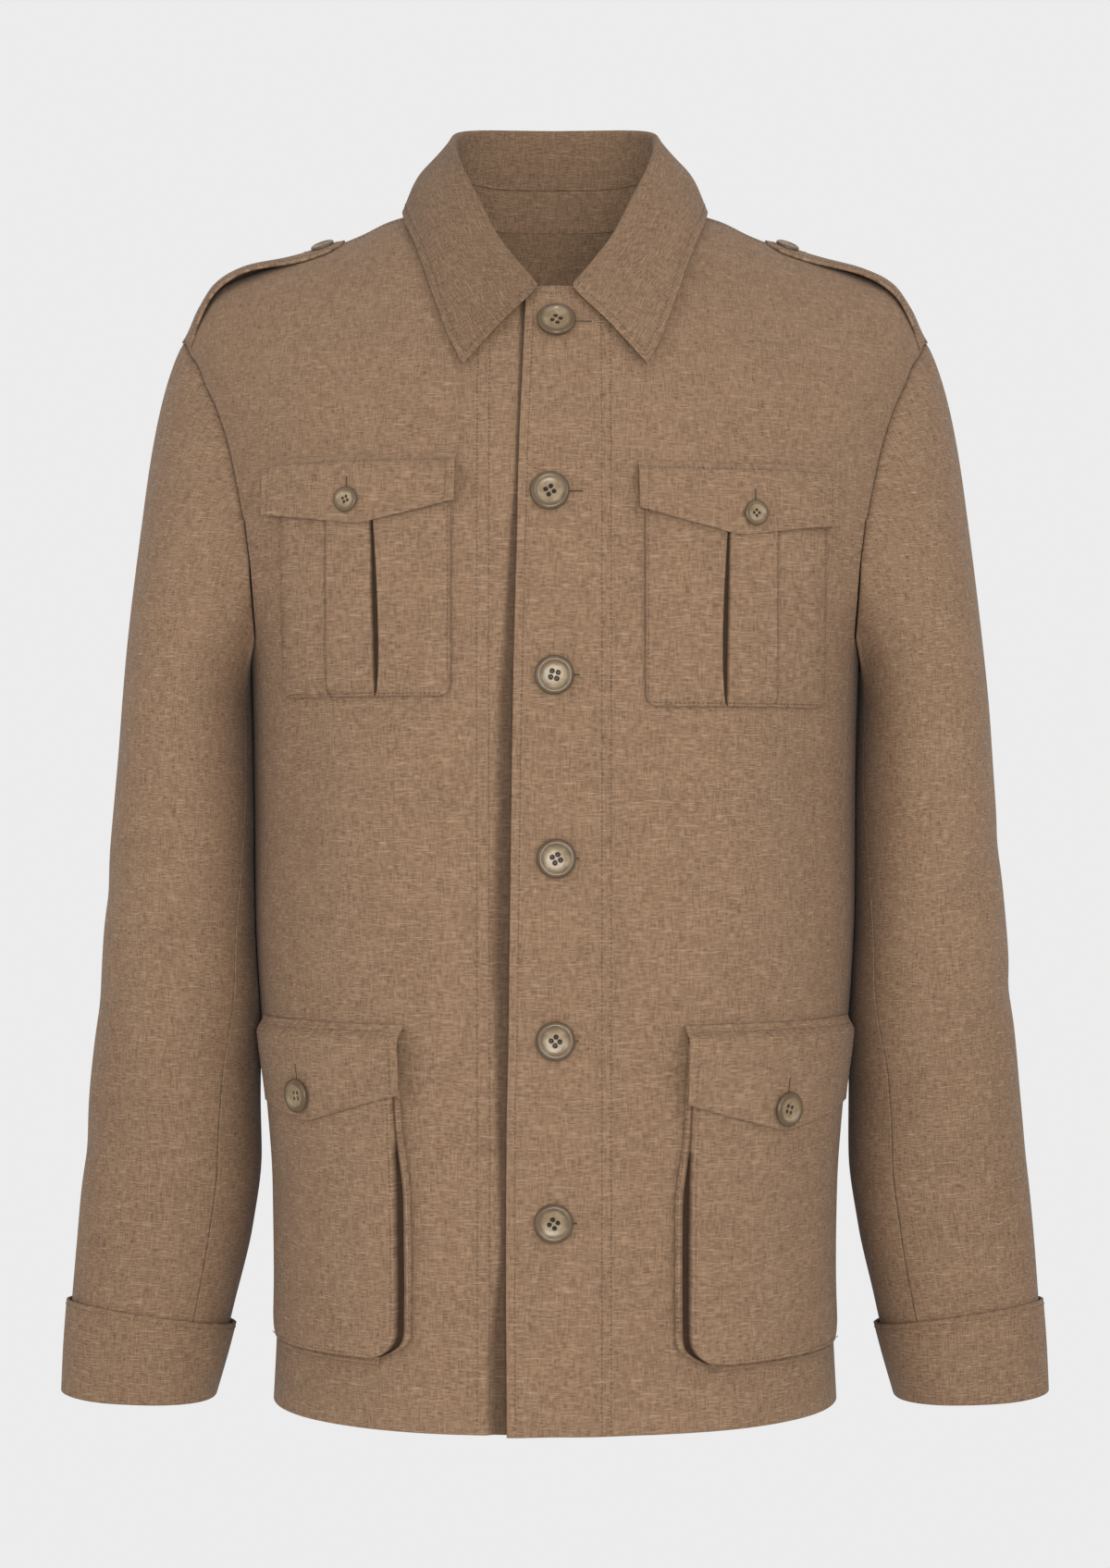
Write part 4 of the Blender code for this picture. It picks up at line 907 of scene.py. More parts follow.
def sleeveRing(z, degrees):
    # superellipse of exponent 2 / power between the section's four sides, tilted towards the cuff
    outer, inner, front, back = [smooth(-sleeveSections[:, 0], sleeveSections[:, c], -z)
                                 for c in (1, 2, 3, 4)]
    power = sleeveLook["power"]
    cosine, sine = np.cos(np.radians(degrees)), np.sin(np.radians(degrees))
    x = (outer + inner) / 2 + (outer - inner) / 2 * np.sign(cosine) * np.abs(cosine) ** power
    y = (front + back) / 2 + (front - back) / 2 * np.sign(sine) * np.abs(sine) ** power
    tilt = form["sleeveTilt"] * (x - (outer + inner) / 2) * stepUp(*sleeveLook["tiltFrom"], -z)
    return np.stack([x, y, z + tilt], -1)


def sleeveCrease(side, degrees, z):
    # the same sum of Gaussians as on the body, with the angle turned into a length of cloth
    height = np.zeros(np.broadcast(degrees, z).shape)
    for place, level, lean, length, width, depth in sleeveCreases[sleeveCreases[:, 0] == side, 1:]:
        turn = math.radians(lean)
        right = ((degrees - place + 180) % 360 - 180) * creaseLook["perDegree"]
        ahead = right * math.sin(turn) + (z - level) * math.cos(turn)
        across = right * math.cos(turn) - (z - level) * math.sin(turn)
        height = height + depth * np.exp(-(across / width) ** 2 - (ahead / length) ** 2)
    uneven = np.sin(np.radians(degrees * 3) + 21 * z + side) * np.sin(17 * z + side * 0.6)
    return height + creaseLook["sleeveUneven"] * stepUp(*creaseLook["sleeveCalm"], z) * uneven


def sleeveSurface(side, look):
    # rows from the armhole down, columns back to front over the outer side, then under the arm;
    # the cap is a cubic Hermite strip from the armhole, in the direction leave, to the first section
    mirror = np.array([side, 1, 1])
    dense = np.linspace(-armhole[-1, 0], armhole[-1, 0], 401)
    line, _ = onBody(side * armX(dense), dense)
    length = arcs(line, 0)
    half = look["top"] // 2
    middle = length[200]
    places = np.concatenate([np.linspace(0, middle, half + 1), np.linspace(middle, length[-1], half + 1)[1:]])
    loop = np.interp(places, length, dense)
    arm, armNormal = onBody(side * armX(loop), loop)
    share = np.where(places < middle, (places - middle) / middle, (places - middle) / (length[-1] - middle))
    spare = np.arange(1, look["under"]) / look["under"]
    degrees = form["sideSeam"] + (180 - 2 * form["sideSeam"]) * spare
    floor, floorNormal = onSide(side * degrees, sideTop(degrees))
    ring = np.concatenate([arm, floor]) * mirror
    ringNormal = np.concatenate([armNormal, floorNormal]) * mirror

    def angles(z):
        # degrees round the section: the top sleeve between its two seams, then the under sleeve
        ahead, behind = [smooth(-sleeveSections[:, 0], sleeveSections[:, c], -z)[..., None]
                         for c in (5, 6)]
        over = np.where(share < 0, share * behind, share * ahead)
        return np.concatenate([over, ahead + (360 - behind - ahead) * spare], -1)

    topZ = sleeveSections[0, 0]
    turned = angles(np.array([topZ]))[0]
    first = np.radians(turned)
    leave = np.stack([0.540 + 0.14 * np.cos(first) - 0.23 * np.cos(2 * first),
                      -0.12 * np.sin(first), -0.75 + 0 * first], -1)
    leave[:, 2] -= 0.20 * (1 - leave[:, 0])
    leave = unit(leave)
    target = sleeveRing(np.full(turned.shape, topZ), turned)
    chord = np.linalg.norm(target - ring, axis=1)[:, None]
    arrive = unit(np.stack([0.08 * np.cos(first), 0 * first, 0 * first - 1], -1))
    s = np.linspace(0, 1, look["cap"], endpoint=False)[:, None, None]
    cap = ((1 + 2 * s) * (1 - s) ** 2 * ring + s * (1 - s) ** 2 * 0.62 * chord * leave
           + s * s * (3 - 2 * s) * target + s * s * (s - 1) * chord * arrive)
    z = np.linspace(topZ, form["sleeveEnd"], int((topZ - form["sleeveEnd"]) / look["step"]))
    lower = angles(z)
    points = np.concatenate([cap, sleeveRing(z[:, None], lower)])
    around = np.concatenate([np.broadcast_to(turned, cap.shape[:2]), lower])
    centre = np.array([0.235, 0.0, 0.0])
    outward = (points - centre) * [1, 1, 0]
    normal = gridNormal(points, outward, True)
    points = points + normal * sleeveCrease(side, around, points[..., 2])[..., None]
    normal = gridNormal(points, outward, True)
    agree = np.clip(np.sum(normal[0] * ringNormal, -1), 0, 1)[:, None]
    near = np.clip(1 - s / 0.10, 0, 1)
    clear = form["gap"] * leave + (0.2 + 0.8 * (1 - agree)) * form["gap"] * 1.8 * ringNormal
    points[:look["cap"]] += near * clear
    normal[0] = unit(agree * ringNormal + (1 - agree) * normal[0])
    bodyDegrees = np.linspace(50, 130, 81)
    for row in range(look["cap"], len(points)):
        # the part that faces the body stays just clear of it
        beside = normal[row, :, 0] < -0.3
        level = points[row, beside, 2].mean()
        bodyLine, _ = onSide(side * bodyDegrees, np.full(81, level))
        bodyLine = bodyLine[np.argsort(bodyLine[:, 1])] * mirror
        least = np.interp(points[row, beside, 1], bodyLine[:, 1], bodyLine[:, 0]) + look["clear"]
        points[row, beside, 0] = np.maximum(points[row, beside, 0], least)
    return points, normal, len(loop), around


def buildSleeve(side, word, look):
    # two pieces of one surface, each drawn in a little at the seams
    mirror = np.array([side, 1, 1])
    points, normal, topCount, around = sleeveSurface(side, look)
    inner = points - normal * look["thick"]
    down = arcs(points, 0)
    u = np.radians(around) * look["girth"]
    v = down[-1][None] - down
    under = np.append(np.arange(topCount - 1, points.shape[1]), 0)
    last = np.arange(len(under)) == len(under) - 1
    uUnder = np.where(last, u[:, under] + 2 * math.pi * look["girth"], u[:, under])
    pieces = (("Top", np.arange(topCount), u[:, :topCount]), ("Under", under, uUnder))
    for part, columns, across in pieces:
        grid, below = points[:, columns].copy(), inner[:, columns].copy()
        for here, inward in ((0, 1), (-1, -2)):
            grid[:, here] += look["seam"] * unit(grid[:, inward] - grid[:, here])
            below[:, here] += look["seam"] * unit(below[:, inward] - below[:, here])
        uv = np.stack([across * side + weaveStart["sleeve"], v[:, columns] + 0.5], -1)
        # painted shade: darker from the elbow down, and a narrow band of painted shadow below the armhole
        # seam
        deep = (look["shade"] * stepUp(*look["shadeFrom"], grid[..., 2])
                + look["armhole"] * stepUp(look["armholeShadeWidth"], 0.0, down[:, columns]))
        clothPiece("sleeve" + part + word, grid * mirror, below * mirror, uv,
                   on=["front" + word, "back", "sidePanel" + word], deep=deep)


cuffLook = dict(columns=112, rows=13, edge=0.0032, thick=0.0018, stand=0.0008, swell=0.0004,
                inset=0.0006, rise=0.012, tilt=2.2, lean=1.8, shade=0.13)


def buildCuff(side, word, look):
    # rings of the sleeve's section, moved out; they rise and lean more the higher they lie
    mirror = np.array([side, 1, 1])
    degrees = np.linspace(0, 360, look["columns"], endpoint=False)
    low = form["sleeveEnd"] + look["inset"]
    z = np.linspace(low, low + form["cuff"], look["rows"])
    rows = sleeveRing(z[:, None], degrees[None])
    right = rows[..., 0] - rows[0, :, 0].mean()
    behind = rows[..., 1] - rows[0, :, 1].mean()
    leaning = look["tilt"] * right - look["lean"] * behind
    rows[..., 2] += (z - low)[:, None] * (look["rise"] + leaning)
    normal = gridNormal(rows, (rows - rows.mean(1, keepdims=True)) * [1, 1, 0], True)
    swell = look["swell"] * np.sin(math.pi * np.linspace(0, 1, look["rows"]))[:, None, None]
    inner = rows + normal * look["stand"]
    outer = inner + normal * (look["thick"] + swell)
    uv = gridUv(outer)
    uv[..., 0] *= side
    top = form["cuff"] - arcs(outer, 0)
    # the cuff carries an even painted shade
    clothPiece("cuff" + word, outer * mirror, inner * mirror, uv + weaveStart["cuff"],
               [top - look["edge"]], closed=True, on=["sleeveTop" + word],
               held="folded", deep=look["shade"])
    spot, facing = insetLine(outer, normal, "top", look["edge"])
    spot, facing = np.concatenate([spot, spot[:1]]), np.concatenate([facing, facing[:1]])
    sewLine("cuff" + word + "Stitching", spot * mirror, facing * mirror)


for side, word in bothSides:
    buildSleeve(side, word, sleeveLook)
    buildCuff(side, word, cuffLook)
print("sleeves built")


# collar

def collarAt(place, column):
    # one column of the collar's table at a place from -1 to 1 along it
    return smooth(collarTable[:, 0], collarTable[:, column], np.abs(place))


def collarLines(place):
    # the neck seam, the stand's top, the fold and the fall's edge along the collar, and the way out
    side = np.where(place < 0, -1.0, 1.0)
    seam, _ = onBody(side * collarAt(place, 1), collarAt(place, 2))
    fold = np.stack([side * collarAt(place, 3), collarAt(place, 4), collarAt(place, 5)], -1)
    out = unit(fold * [1, 1, 0] + [0, 0.022, 0])
    seam = seam - out * (0.0006 + form["cloth"])
    share = collarAt(place, 6)[:, None]
    top = seam + (fold - out * 0.003 - seam) * share
    clear = np.where(side > 0, form["lap"] * (np.abs(place) > 0.8), 0)
    edge, _ = onBody(side * collarAt(place, 7), collarAt(place, 8), collarAt(place, 9) + clear * 0.5)
    return seam, top, fold, edge, out


def collarTight(place):
    # the roll narrows towards the front ends
    return 1 - 0.62 * stepUp(0.86, 1.0, np.abs(place))


def collarFall(place, rows):
    # monotone cubic down each place: stand top, inside of the fold, fold, outside, middle, edge
    seam, top, fold, edge, out = collarLines(place)
    up = np.array([0, 0, 1.0])
    start = top + unit(fold - out * 0.003 - seam) * 0.0002
    tight = collarTight(place)[:, None]
    drop = np.minimum(0.0035, 0.28 * np.linalg.norm(fold - seam, axis=1))[:, None]
    inside = fold - out * 0.0030 * tight - up * drop * tight
    outside = fold + out * 0.0036 * tight - up * 0.0040 * tight
    bulge = 0.0040 * np.sin(np.pi * np.clip(1 - np.abs(place), 0.0, 1) ** 0.7)[:, None]
    middle = outside + (edge - outside) * 0.5 + unit(out + up * 0.6) * (bulge + 0.0012)
    knots = np.array([0.0, 0.28, 0.36, 0.44, 0.72, 1.0])
    flat = np.stack([start, inside, fold, outside, middle, edge]).reshape(6, -1)
    made = np.stack([smooth(knots, flat[:, c], rows) for c in range(flat.shape[1])], -1)
    made = made.reshape(len(rows), len(place), 3)
    front = (made[..., 1] < -0.03) & (rows > 0.44)[:, None]
    bare = bodyPoint(made[..., 0], runAt(made[..., 0], made[..., 2]))[..., 1]
    limit = bare - 0.0042 - form["lap"] * stepUp(-0.03, 0.01, made[..., 0])
    made[..., 1] = np.where(front, np.minimum(made[..., 1], limit), made[..., 1])
    return made


collarLook = dict(places=190, edge=0.0050, thick=0.0018, shade=0.34, leafShade=(0.18, 0.08), turnOver=0.36,
                  falling=0.44, topStitch=0.004, seamOver=(0.0001, 0.0013), lower=0.3)


def buildCollar(look):
    # the stand is ruled from the neck seam up to its top; the fall is the surface of collarFall
    place = np.linspace(-1, 1, look["places"])
    seam, top, _, _, out = collarLines(place)
    tall = 1 - look["lower"] * stepUp(0.80, 1.0, np.abs(place))
    inner = seam + (top - seam) * (np.linspace(0, 1, 9)[:, None, None] * tall[:, None])
    clear, over = look["seamOver"]
    inner[0] += unit(top - seam) * (clear - over * stepUp(0.62, 0.42, np.abs(place)))[:, None]
    outer = inner + out * form["cloth"]
    # the stand carries an even painted shade
    clothPiece("collarStand", outer, inner, gridUv(outer) + weaveStart["stand"],
               held="folded", on=["back"], rim=0.0005, rounding=0.00008, deep=look["shade"])
    rows = np.concatenate([np.linspace(0, 0.24, 9), np.linspace(0.26, 0.50, 17), np.linspace(0.53, 1, 18)])
    points = collarFall(place, rows)
    small = 1e-3
    east, west = [collarFall(np.clip(place + step, -1, 1), rows) for step in (small, -small)]
    later, earlier = [collarFall(place, np.clip(rows + step, 0, 1)) for step in (small, -small)]
    normal = unit(np.cross(east - west, later - earlier))
    length = arcs(points, 0)
    across = arcs(points, 1)
    fromEdge = length[-1][None] - length
    fromEnd = np.minimum(across, across[:, -1][:, None] - across)
    uv = np.stack([across - across[:, look["places"] // 2][:, None], length], -1)
    hidden = (rows < look["turnOver"])[:, None]
    lines = [np.where(hidden, noStitch, fromEdge - look["edge"]),
             np.where(hidden, noStitch, fromEnd - look["edge"]), length - look["topStitch"]]
    # painted shade: the inside of the fold darker, and the leaf on the wearer's right (x < 0) darker than the
    # other, as if lit from the wearer's left
    mean, uneven = look["leafShade"]
    leafPaintedShade = mean - uneven * np.tanh(6 * place)
    deep = look["shade"] - (look["shade"] - leafPaintedShade) * stepUp(0.26, 0.38, rows)[:, None]
    inner = points - normal * look["thick"] * collarTight(place)[:, None]
    clothPiece("collarFall", points, inner, uv + weaveStart["fall"], lines,
               held="folded", on=["collarStand"], rim=0.0008, rounding=0.00012, deep=deep)
    group = "collarStitching"
    sewEdge(group, points, normal, "top", look["edge"], (look["edge"], look["edge"]))
    lower = rows > look["falling"]
    for end in ("left", "right"):
        sewEdge(group, points[lower], normal[lower], end, look["edge"], (0.0, look["edge"]))
    spot, facing = insetLine(points, normal, "bottom", look["topStitch"])
    inside = spot - facing * look["thick"]
    sewLine(group, inside[8:-8], -facing[8:-8])


buildCollar(collarLook)
print("collar built")


# straps on the shoulders

strapLook = dict(
    share=np.array([0.0, 0.018, 0.05, 0.10, 0.18, 0.30, 0.42, 0.54, 0.66, 0.78, 0.90, 1.0]),
    half=np.array([0.0030, 0.0085, 0.0135, 0.0170, 0.0180, 0.0185,
                   0.0190, 0.0197, 0.0203, 0.0208, 0.0212, 0.0215]),
    start=0.1300, short=0.0012, edge=0.0045, thick=0.0018, bow={-1: 0.0058, 1: 0.0036},
    ahead=(0.0040, 0.0070), hole=(0.09, 0.24), button=0.015, buttonAt=0.13, turn=25)


def strapPoints(side, ways, across, lift):
    # each row is a line over the ridge; across is the length of cloth from the ridge along it
    def halfWidth(run, way):
        # distance from the middle, by the share of the way from the strap's tip to the armhole
        return strapLook["start"] + (armX(run) - strapLook["short"] - strapLook["start"]) * way
    runs = np.linspace(-0.7, 0.7, 141)
    reach = halfWidth(runs, ways[:, :1])
    line, _ = onBody(side * reach, np.broadcast_to(runs, reach.shape))
    length = arcs(line, 1)
    length = length - length[:, 70][:, None]
    run = np.stack([np.interp(a, l, runs) for a, l in zip(across, length)])
    points, normal = onBody(side * halfWidth(run, ways), run)
    return points + normal * lift[..., None], normal


def strapAhead(share):
    # the pointed end hangs a little further over the front
    least, more = strapLook["ahead"]
    return least + more * (1 - stepUp(0.05, 0.75, share))


def strapLift(side, share, spread=0.0):
    # the strap bows up between its ends, more along its front edge
    base = form["lay"] + form["cloth"] - 0.0006 - 0.0010 * stepUp(0.90, 1.0, share)
    base = base - 0.0009 * (1 - stepUp(0.0, 0.07, share))
    bow = strapLook["bow"][side] * np.sin(np.pi * stepUp(0.18, 1.0, share) ** 1.2)
    return base + bow * (0.25 + 0.75 * stepUp(-0.8, 0.8, spread))


def buildStrap(side, word, look):
    # rows from the pointed tip to the armhole seam, half widths from the table
    share = np.concatenate([[0.0, 0.006, 0.012], np.linspace(0.018, 1, 58)])
    half = smooth(look["share"], look["half"], share)
    spread = np.linspace(-1, 1, 23)
    ways = np.repeat(share[:, None], 23, 1)
    across = half[:, None] * spread + strapAhead(ways)
    outer, normal = strapPoints(side, ways, across, strapLift(side, ways, spread))
    inner = outer - normal * look["thick"]
    uv = gridUv(outer, 11)
    fromSide = half[:, None] * (1 - np.abs(spread))
    fromTip = arcs(outer, 0)
    away = np.minimum(fromSide, fromTip * 0.8 + 0.0008) - look["edge"]
    clothPiece("epaulette" + word, outer, inner, uv[..., ::-1] + weaveStart["strap"], [away],
               held="laid", on=["front" + word, "back"])
    way = np.concatenate([np.linspace(1, 0.045, 60), np.linspace(0.045, 1, 60)])
    width = np.maximum(smooth(look["share"], look["half"], way) - look["edge"], 0.0)
    width = width * np.repeat([-1.0, 1.0], 60)
    away = np.sign(width[:, None]) * 0.75
    spot, facing = strapPoints(side, way[:, None], width[:, None] + strapAhead(way[:, None]),
                               strapLift(side, way[:, None], away))
    sewLine("epaulette" + word + "Stitching", spot[:, 0], facing[:, 0], (0.001, 0.001))
    way = np.linspace(*look["hole"], 12)[:, None]
    spot, facing = strapPoints(side, way, strapAhead(way), strapLift(side, way))
    buttonhole(spot[:, 0], facing[:, 0])
    way = np.array([[look["buttonAt"]]])
    spot, facing = strapPoints(side, way, strapAhead(way) + 0.001, strapLift(side, way) - 0.0002)
    buildButton("epauletteButton" + word, spot[0, 0],
                facing[0, 0] + [0, -0.12, 0], look["button"], look["turn"])


# buttons

buttonShape = np.array([   # share of the radius, share of the size above the back
    (0.00, 0.098), (0.10, 0.098), (0.20, 0.099), (0.30, 0.100), (0.42, 0.103), (0.54, 0.108), (0.60, 0.114),
    (0.645, 0.126), (0.68, 0.142), (0.73, 0.156), (0.80, 0.163), (0.88, 0.158), (0.95, 0.138), (0.985, 0.112),
    (1.00, 0.085), (0.985, 0.058), (0.95, 0.035), (0.88, 0.014), (0.76, 0.000), (0.40, 0.000), (0.00, 0.000)])


buttonHoles = dict(away=0.218, radius=(0.092, 0.126), depth=0.075, shank=0.34)
shanks = []   # place, axis and radius of the thread under each button


def faceAxes(facing):
    # two unit vectors square to a button's axis, the second one as upright as it can be
    guide = np.array([0.0, 0.0, 1.0]) if abs(facing[2]) < 0.9 else np.array([0.0, 1.0, 0.0])
    across = unit(np.cross(guide, facing))
    return across, np.cross(facing, across)


def buildButton(name, spot, facing, size, turn):
    # a turned profile, finer where the four holes sink into the dish
    radius = size / 2
    face = buttonShape[:5]
    fine = np.linspace(0.0, 0.42, 19)
    profile = np.concatenate([np.stack([fine, np.interp(fine, face[:, 0], face[:, 1])], -1), buttonShape[5:]])
    sides = 72
    angle = np.arange(sides) * 2 * math.pi / sides
    facing = unit(facing)
    across, upward = faceAxes(facing)
    r = profile[:, :1] * radius
    right, up = r * np.cos(angle), r * np.sin(angle)
    spots = np.radians(turn + np.array([0, 90, 180, 270]))
    apart = buttonHoles["away"] * radius
    away = np.min(np.hypot(right[..., None] - apart * np.cos(spots),
                           up[..., None] - apart * np.sin(spots)), -1)
    inside, outside = buttonHoles["radius"]
    hole = 1 - stepUp(inside * radius, outside * radius, away)
    hole = hole * (np.arange(len(profile)) < len(fine))[:, None]
    height = profile[:, 1:] * size - hole * size * buttonHoles["depth"]
    points = spot + right[..., None] * across + up[..., None] * upward + height[..., None] * facing
    number = np.arange(len(profile) * sides).reshape(len(profile), sides)
    wrapped = np.concatenate([number, number[:, :1]], 1)
    quads = np.stack([wrapped[:-1, :-1], wrapped[1:, :-1], wrapped[1:, 1:], wrapped[:-1, 1:]], -1)
    share = np.repeat(profile[:, 0], sides)
    made = makeMesh(name, points.reshape(-1, 3), quads.reshape(-1, 4), horn, None,
                    {"radius": share, "hole": hole.ravel()})
    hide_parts(nodeName(name))
    shanks.append((spot, facing, radius * buttonHoles["shank"]))


for side, word in bothSides:
    buildStrap(side, word, strapLook)

frontButtons = dict(
    size=0.023, lift=0.0005, start=0.002,
    heights=[-0.086, -0.188, -0.294, -0.400, -0.5055, -0.611],
    places=[0.0007, -0.003, -0.0003, 0.0008, 0.0003, -0.0008], turns=[12, -14, 31, -19, -6, 12],
    holes=[0.0212, 0.0195, 0.0147, 0.0134, 0.0134, 0.0138])
for i in range(6):
    z, x = frontButtons["heights"][i], frontButtons["places"][i]
    spot, facing = onBody(np.array(x), runAt(np.array(x), np.array(z)), form["lap"] + frontButtons["lift"])
    buildButton("frontButton%d" % (i + 1), spot, facing,
                frontButtons["size"], frontButtons["turns"][i])
    xs = np.linspace(x - frontButtons["start"], x + frontButtons["holes"][i], 24)
    spots, facings = onBody(xs, runAt(xs, np.full(24, z)), lapLift(xs, 1))
    buttonhole(spots, facings)
print("straps and front buttons built")


# chest pockets: the sizes are distances from the middle and heights

chestPockets = [
    dict(side=-1, word="Right", inner=0.0600, outer=0.1610, bottom=-0.3060, top=-0.1650,
         endIn=-0.1940, endOut=-0.1980, point=-0.2060, flapIn=0.0570, flapOut=0.1700,
         pleatIn=0.1060, pleatOut=0.1315, buttonX=0.1190, buttonZ=-0.1920, slant=0.0030,
         open=0.0034, turn=-20),
    dict(side=1, word="Left", inner=0.0520, outer=0.1600, bottom=-0.3120, top=-0.1700,
         endIn=-0.1980, endOut=-0.2050, point=-0.2130, flapIn=0.0480, flapOut=0.1640,
         pleatIn=0.1005, pleatOut=0.1275, buttonX=0.1140, buttonZ=-0.1995, slant=0.0022,
         open=0.0032, turn=0)]
pocketLook = dict(edge=0.0019, edgeLift=0.0021, thick=0.0009, rise=0.0016, recess=0.0026, corner=0.007,
                  hem=0.011, foldShade=0.42, edgeShade=0.20)
flapLook = dict(edge=0.0055, topLift=0.0020, thick=0.0015, clear=0.0010, flare=0.0022, flareWidth=0.16,
                ramp=0.0085, hole=(0.001, 0.0135), button=0.015)


def onFront(x, z, lift):
    # a point of the front by its distance from the middle and its height
    return onBody(x, runAt(x, z), lift)


def flapGrid(p, top, columns=54, rows=22, tip=0.5):
    # shares across and down; the lower edge comes to a soft point where across^lean is a half
    across = np.linspace(0, 1, columns)
    lean = math.log(0.5) / math.log(tip)
    down = np.linspace(0, 1, rows)[:, None]
    end = p["endIn"] + (p["endOut"] - p["endIn"]) * across
    peak = 1 - np.sqrt((2 * across ** lean - 1) ** 2 + 0.004)
    bottom = end + (p["point"] - (p["endIn"] + p["endOut"]) / 2) * np.clip(peak, 0, 1) ** 1.1
    return across, down, top + (bottom - top) * down


def buildChestPocket(p, look, flap):
    # columns: flat cloth, the pleat's open fold (level -1), the raised pleat (level 1), flat cloth
    side = p["side"]
    tall = p["top"] - p["bottom"] - look["hem"]
    height = np.concatenate([[0, 0.0006, 0.0014, 0.0026, 0.0045, 0.007], np.linspace(0.0095, tall, 48)])
    share = height / tall
    gap = 0.0004 + p["open"] * np.sin(math.pi * share ** 0.6) ** 0.9
    pleatIn = p["pleatIn"] + p["slant"] * (share - 0.5)
    near, far = (pleatIn - gap)[:, None], pleatIn[:, None]
    flat, raised = np.linspace(0, 1, 18), np.linspace(0, 1, 9)
    strip = p["pleatOut"] - 0.0005
    rest = np.concatenate([p["pleatOut"] + np.array([0.0, 0.00015, 0.0009]),
                           np.linspace(p["pleatOut"] + 0.003, p["outer"], 11)])
    x = np.concatenate([
        p["inner"] + (near - 0.0006 - p["inner"]) * flat, near, near + 0.00012,
        far - 0.00012, far, far + 0.0005, far + 0.0012 + (strip - far - 0.0012) * raised,
        np.repeat(rest[None], len(height), 0)], 1)
    level = np.concatenate([0 * flat, [0.0, -1.0, -1.0, 1.0, 1.0], np.ones(len(raised)), [1.0], 0 * rest[1:]])
    # painted shade: in the pleat's open fold, beside the pleat's outer fold and along the pocket's edges
    deep = (level < 0) * stepUp(0.0006, 0.0012, gap)[:, None]
    beside = stepUp(0.0030, 0.0004, x - p["pleatOut"]) * (x > p["pleatOut"] + 0.0001)
    deep = np.maximum(deep, look["foldShade"] * beside)
    level = np.where(level > 0, level * look["rise"], level * look["recess"])
    middle, half = (p["inner"] + p["outer"]) / 2, (p["outer"] - p["inner"]) / 2
    x = middle + (x - middle) * (half - roundCorner(height, look["corner"])[:, None]) / half
    away = np.minimum(np.minimum(x - x[:, :1], x[:, -1:] - x), height[:, None])
    deep = np.maximum(deep, look["edgeShade"] * stepUp(0.0015, 0.0, away))
    full = form["lay"] + form["cloth"] + 0.0005
    flatter = stepUp(0.0, 0.007, height)[:, None]
    lift = look["edgeLift"] + (full - look["edgeLift"]) * stepUp(0.0, 0.009, away)
    lift = lift + level * (0.25 + 0.75 * flatter)
    z = p["bottom"] + np.repeat(height[:, None], x.shape[1], 1)
    outer, normal = onFront(side * x, z, lift)
    below = np.minimum(look["edgeLift"] - look["thick"] + 0 * lift, lift - 0.0004)
    inner, _ = onFront(side * x, z, below)
    uv = np.stack([side * x + weaveStart["chestPocket"], z], -1)
    name = "chestPocket" + p["word"]
    clothPiece(name, outer, inner, uv, [away - look["edge"]],
               held="laid", on=["front" + p["word"]], deep=deep)
    group = name + "Stitching"
    for edge in ("left", "right"):
        sewEdge(group, outer[8:], normal[8:], edge, look["edge"])
    xs = np.linspace(p["inner"] + 0.005, p["outer"] - 0.005, 60)
    zs = np.full(60, p["bottom"] + look["edge"])
    inPleat = ((xs > p["pleatIn"]) & (xs < p["pleatOut"])) * look["rise"] * 0.5
    spot, facing = onFront(side * xs, zs, look["edgeLift"] + 0.0007 + inPleat)
    sewLine(group, spot, facing)
    buildFlap(p, flap, side)


def finishFlap(place, p, outer, normal, uv, look):
    # the flap's wall, and stitches an edge in from both sides and from the pointed end
    word = p["word"]
    wide, tall = arcs(outer, 1), arcs(outer, 0)
    away = np.minimum(np.minimum(wide, wide[:, -1:] - wide), tall) - look["edge"]
    name = place + "Flap" + word
    clothPiece(name, outer, outer - normal * look["thick"], uv, [away],
               held="hung", on=["front" + word, place + "Pocket" + word])
    for edge, skip in (("left", 0.002), ("right", 0.002), ("bottom", look["edge"])):
        sewEdge(name + "Stitching", outer, normal, edge, look["edge"], (look["edge"], skip))


def flapFlare(across, down, look):
    # the flap's inner side stands off more the lower it lies
    return look["flare"] * (1 - stepUp(0.0, look["flareWidth"], across)) * stepUp(0.15, 1.0, down)


def buildFlap(p, look, side):
    # lifts off the front over a short ramp, and then lies on the pocket and its pleat
    across, down, z = flapGrid(p, p["top"])
    x = np.broadcast_to(p["flapIn"] + (p["flapOut"] - p["flapIn"]) * across, z.shape)
    full = 2 * (form["lay"] + form["cloth"]) + pocketLook["rise"] + 0.0005 - look["clear"]
    ramp = stepUp(0.0, look["ramp"], p["top"] - z)
    lift = look["topLift"] + (full - look["topLift"]) * ramp + flapFlare(across, down, look)
    outer, normal = onFront(side * x, z, lift)
    uv = np.stack([side * x + weaveStart["chestFlap"], z], -1)
    finishFlap("chest", p, outer, normal, uv, look)
    below, above = look["hole"]
    zs = np.linspace(p["buttonZ"] - below, p["buttonZ"] + above, 18)
    buttonhole(*onFront(side * np.full(18, p["buttonX"]), zs, np.full(18, full)))
    lift = 2 * form["lay"] + 2 * form["cloth"] + pocketLook["rise"] + 0.0010 - look["clear"]
    spot, facing = onFront(np.array(side * p["buttonX"]), np.array(p["buttonZ"]), np.array(lift))
    buildButton("chestButton" + p["word"], spot, facing, look["button"], p["turn"])


for pocket in chestPockets:
    buildChestPocket(pocket, pocketLook, flapLook)
print("chest pockets built")


# bellows pockets: widths are lengths of cloth round the body

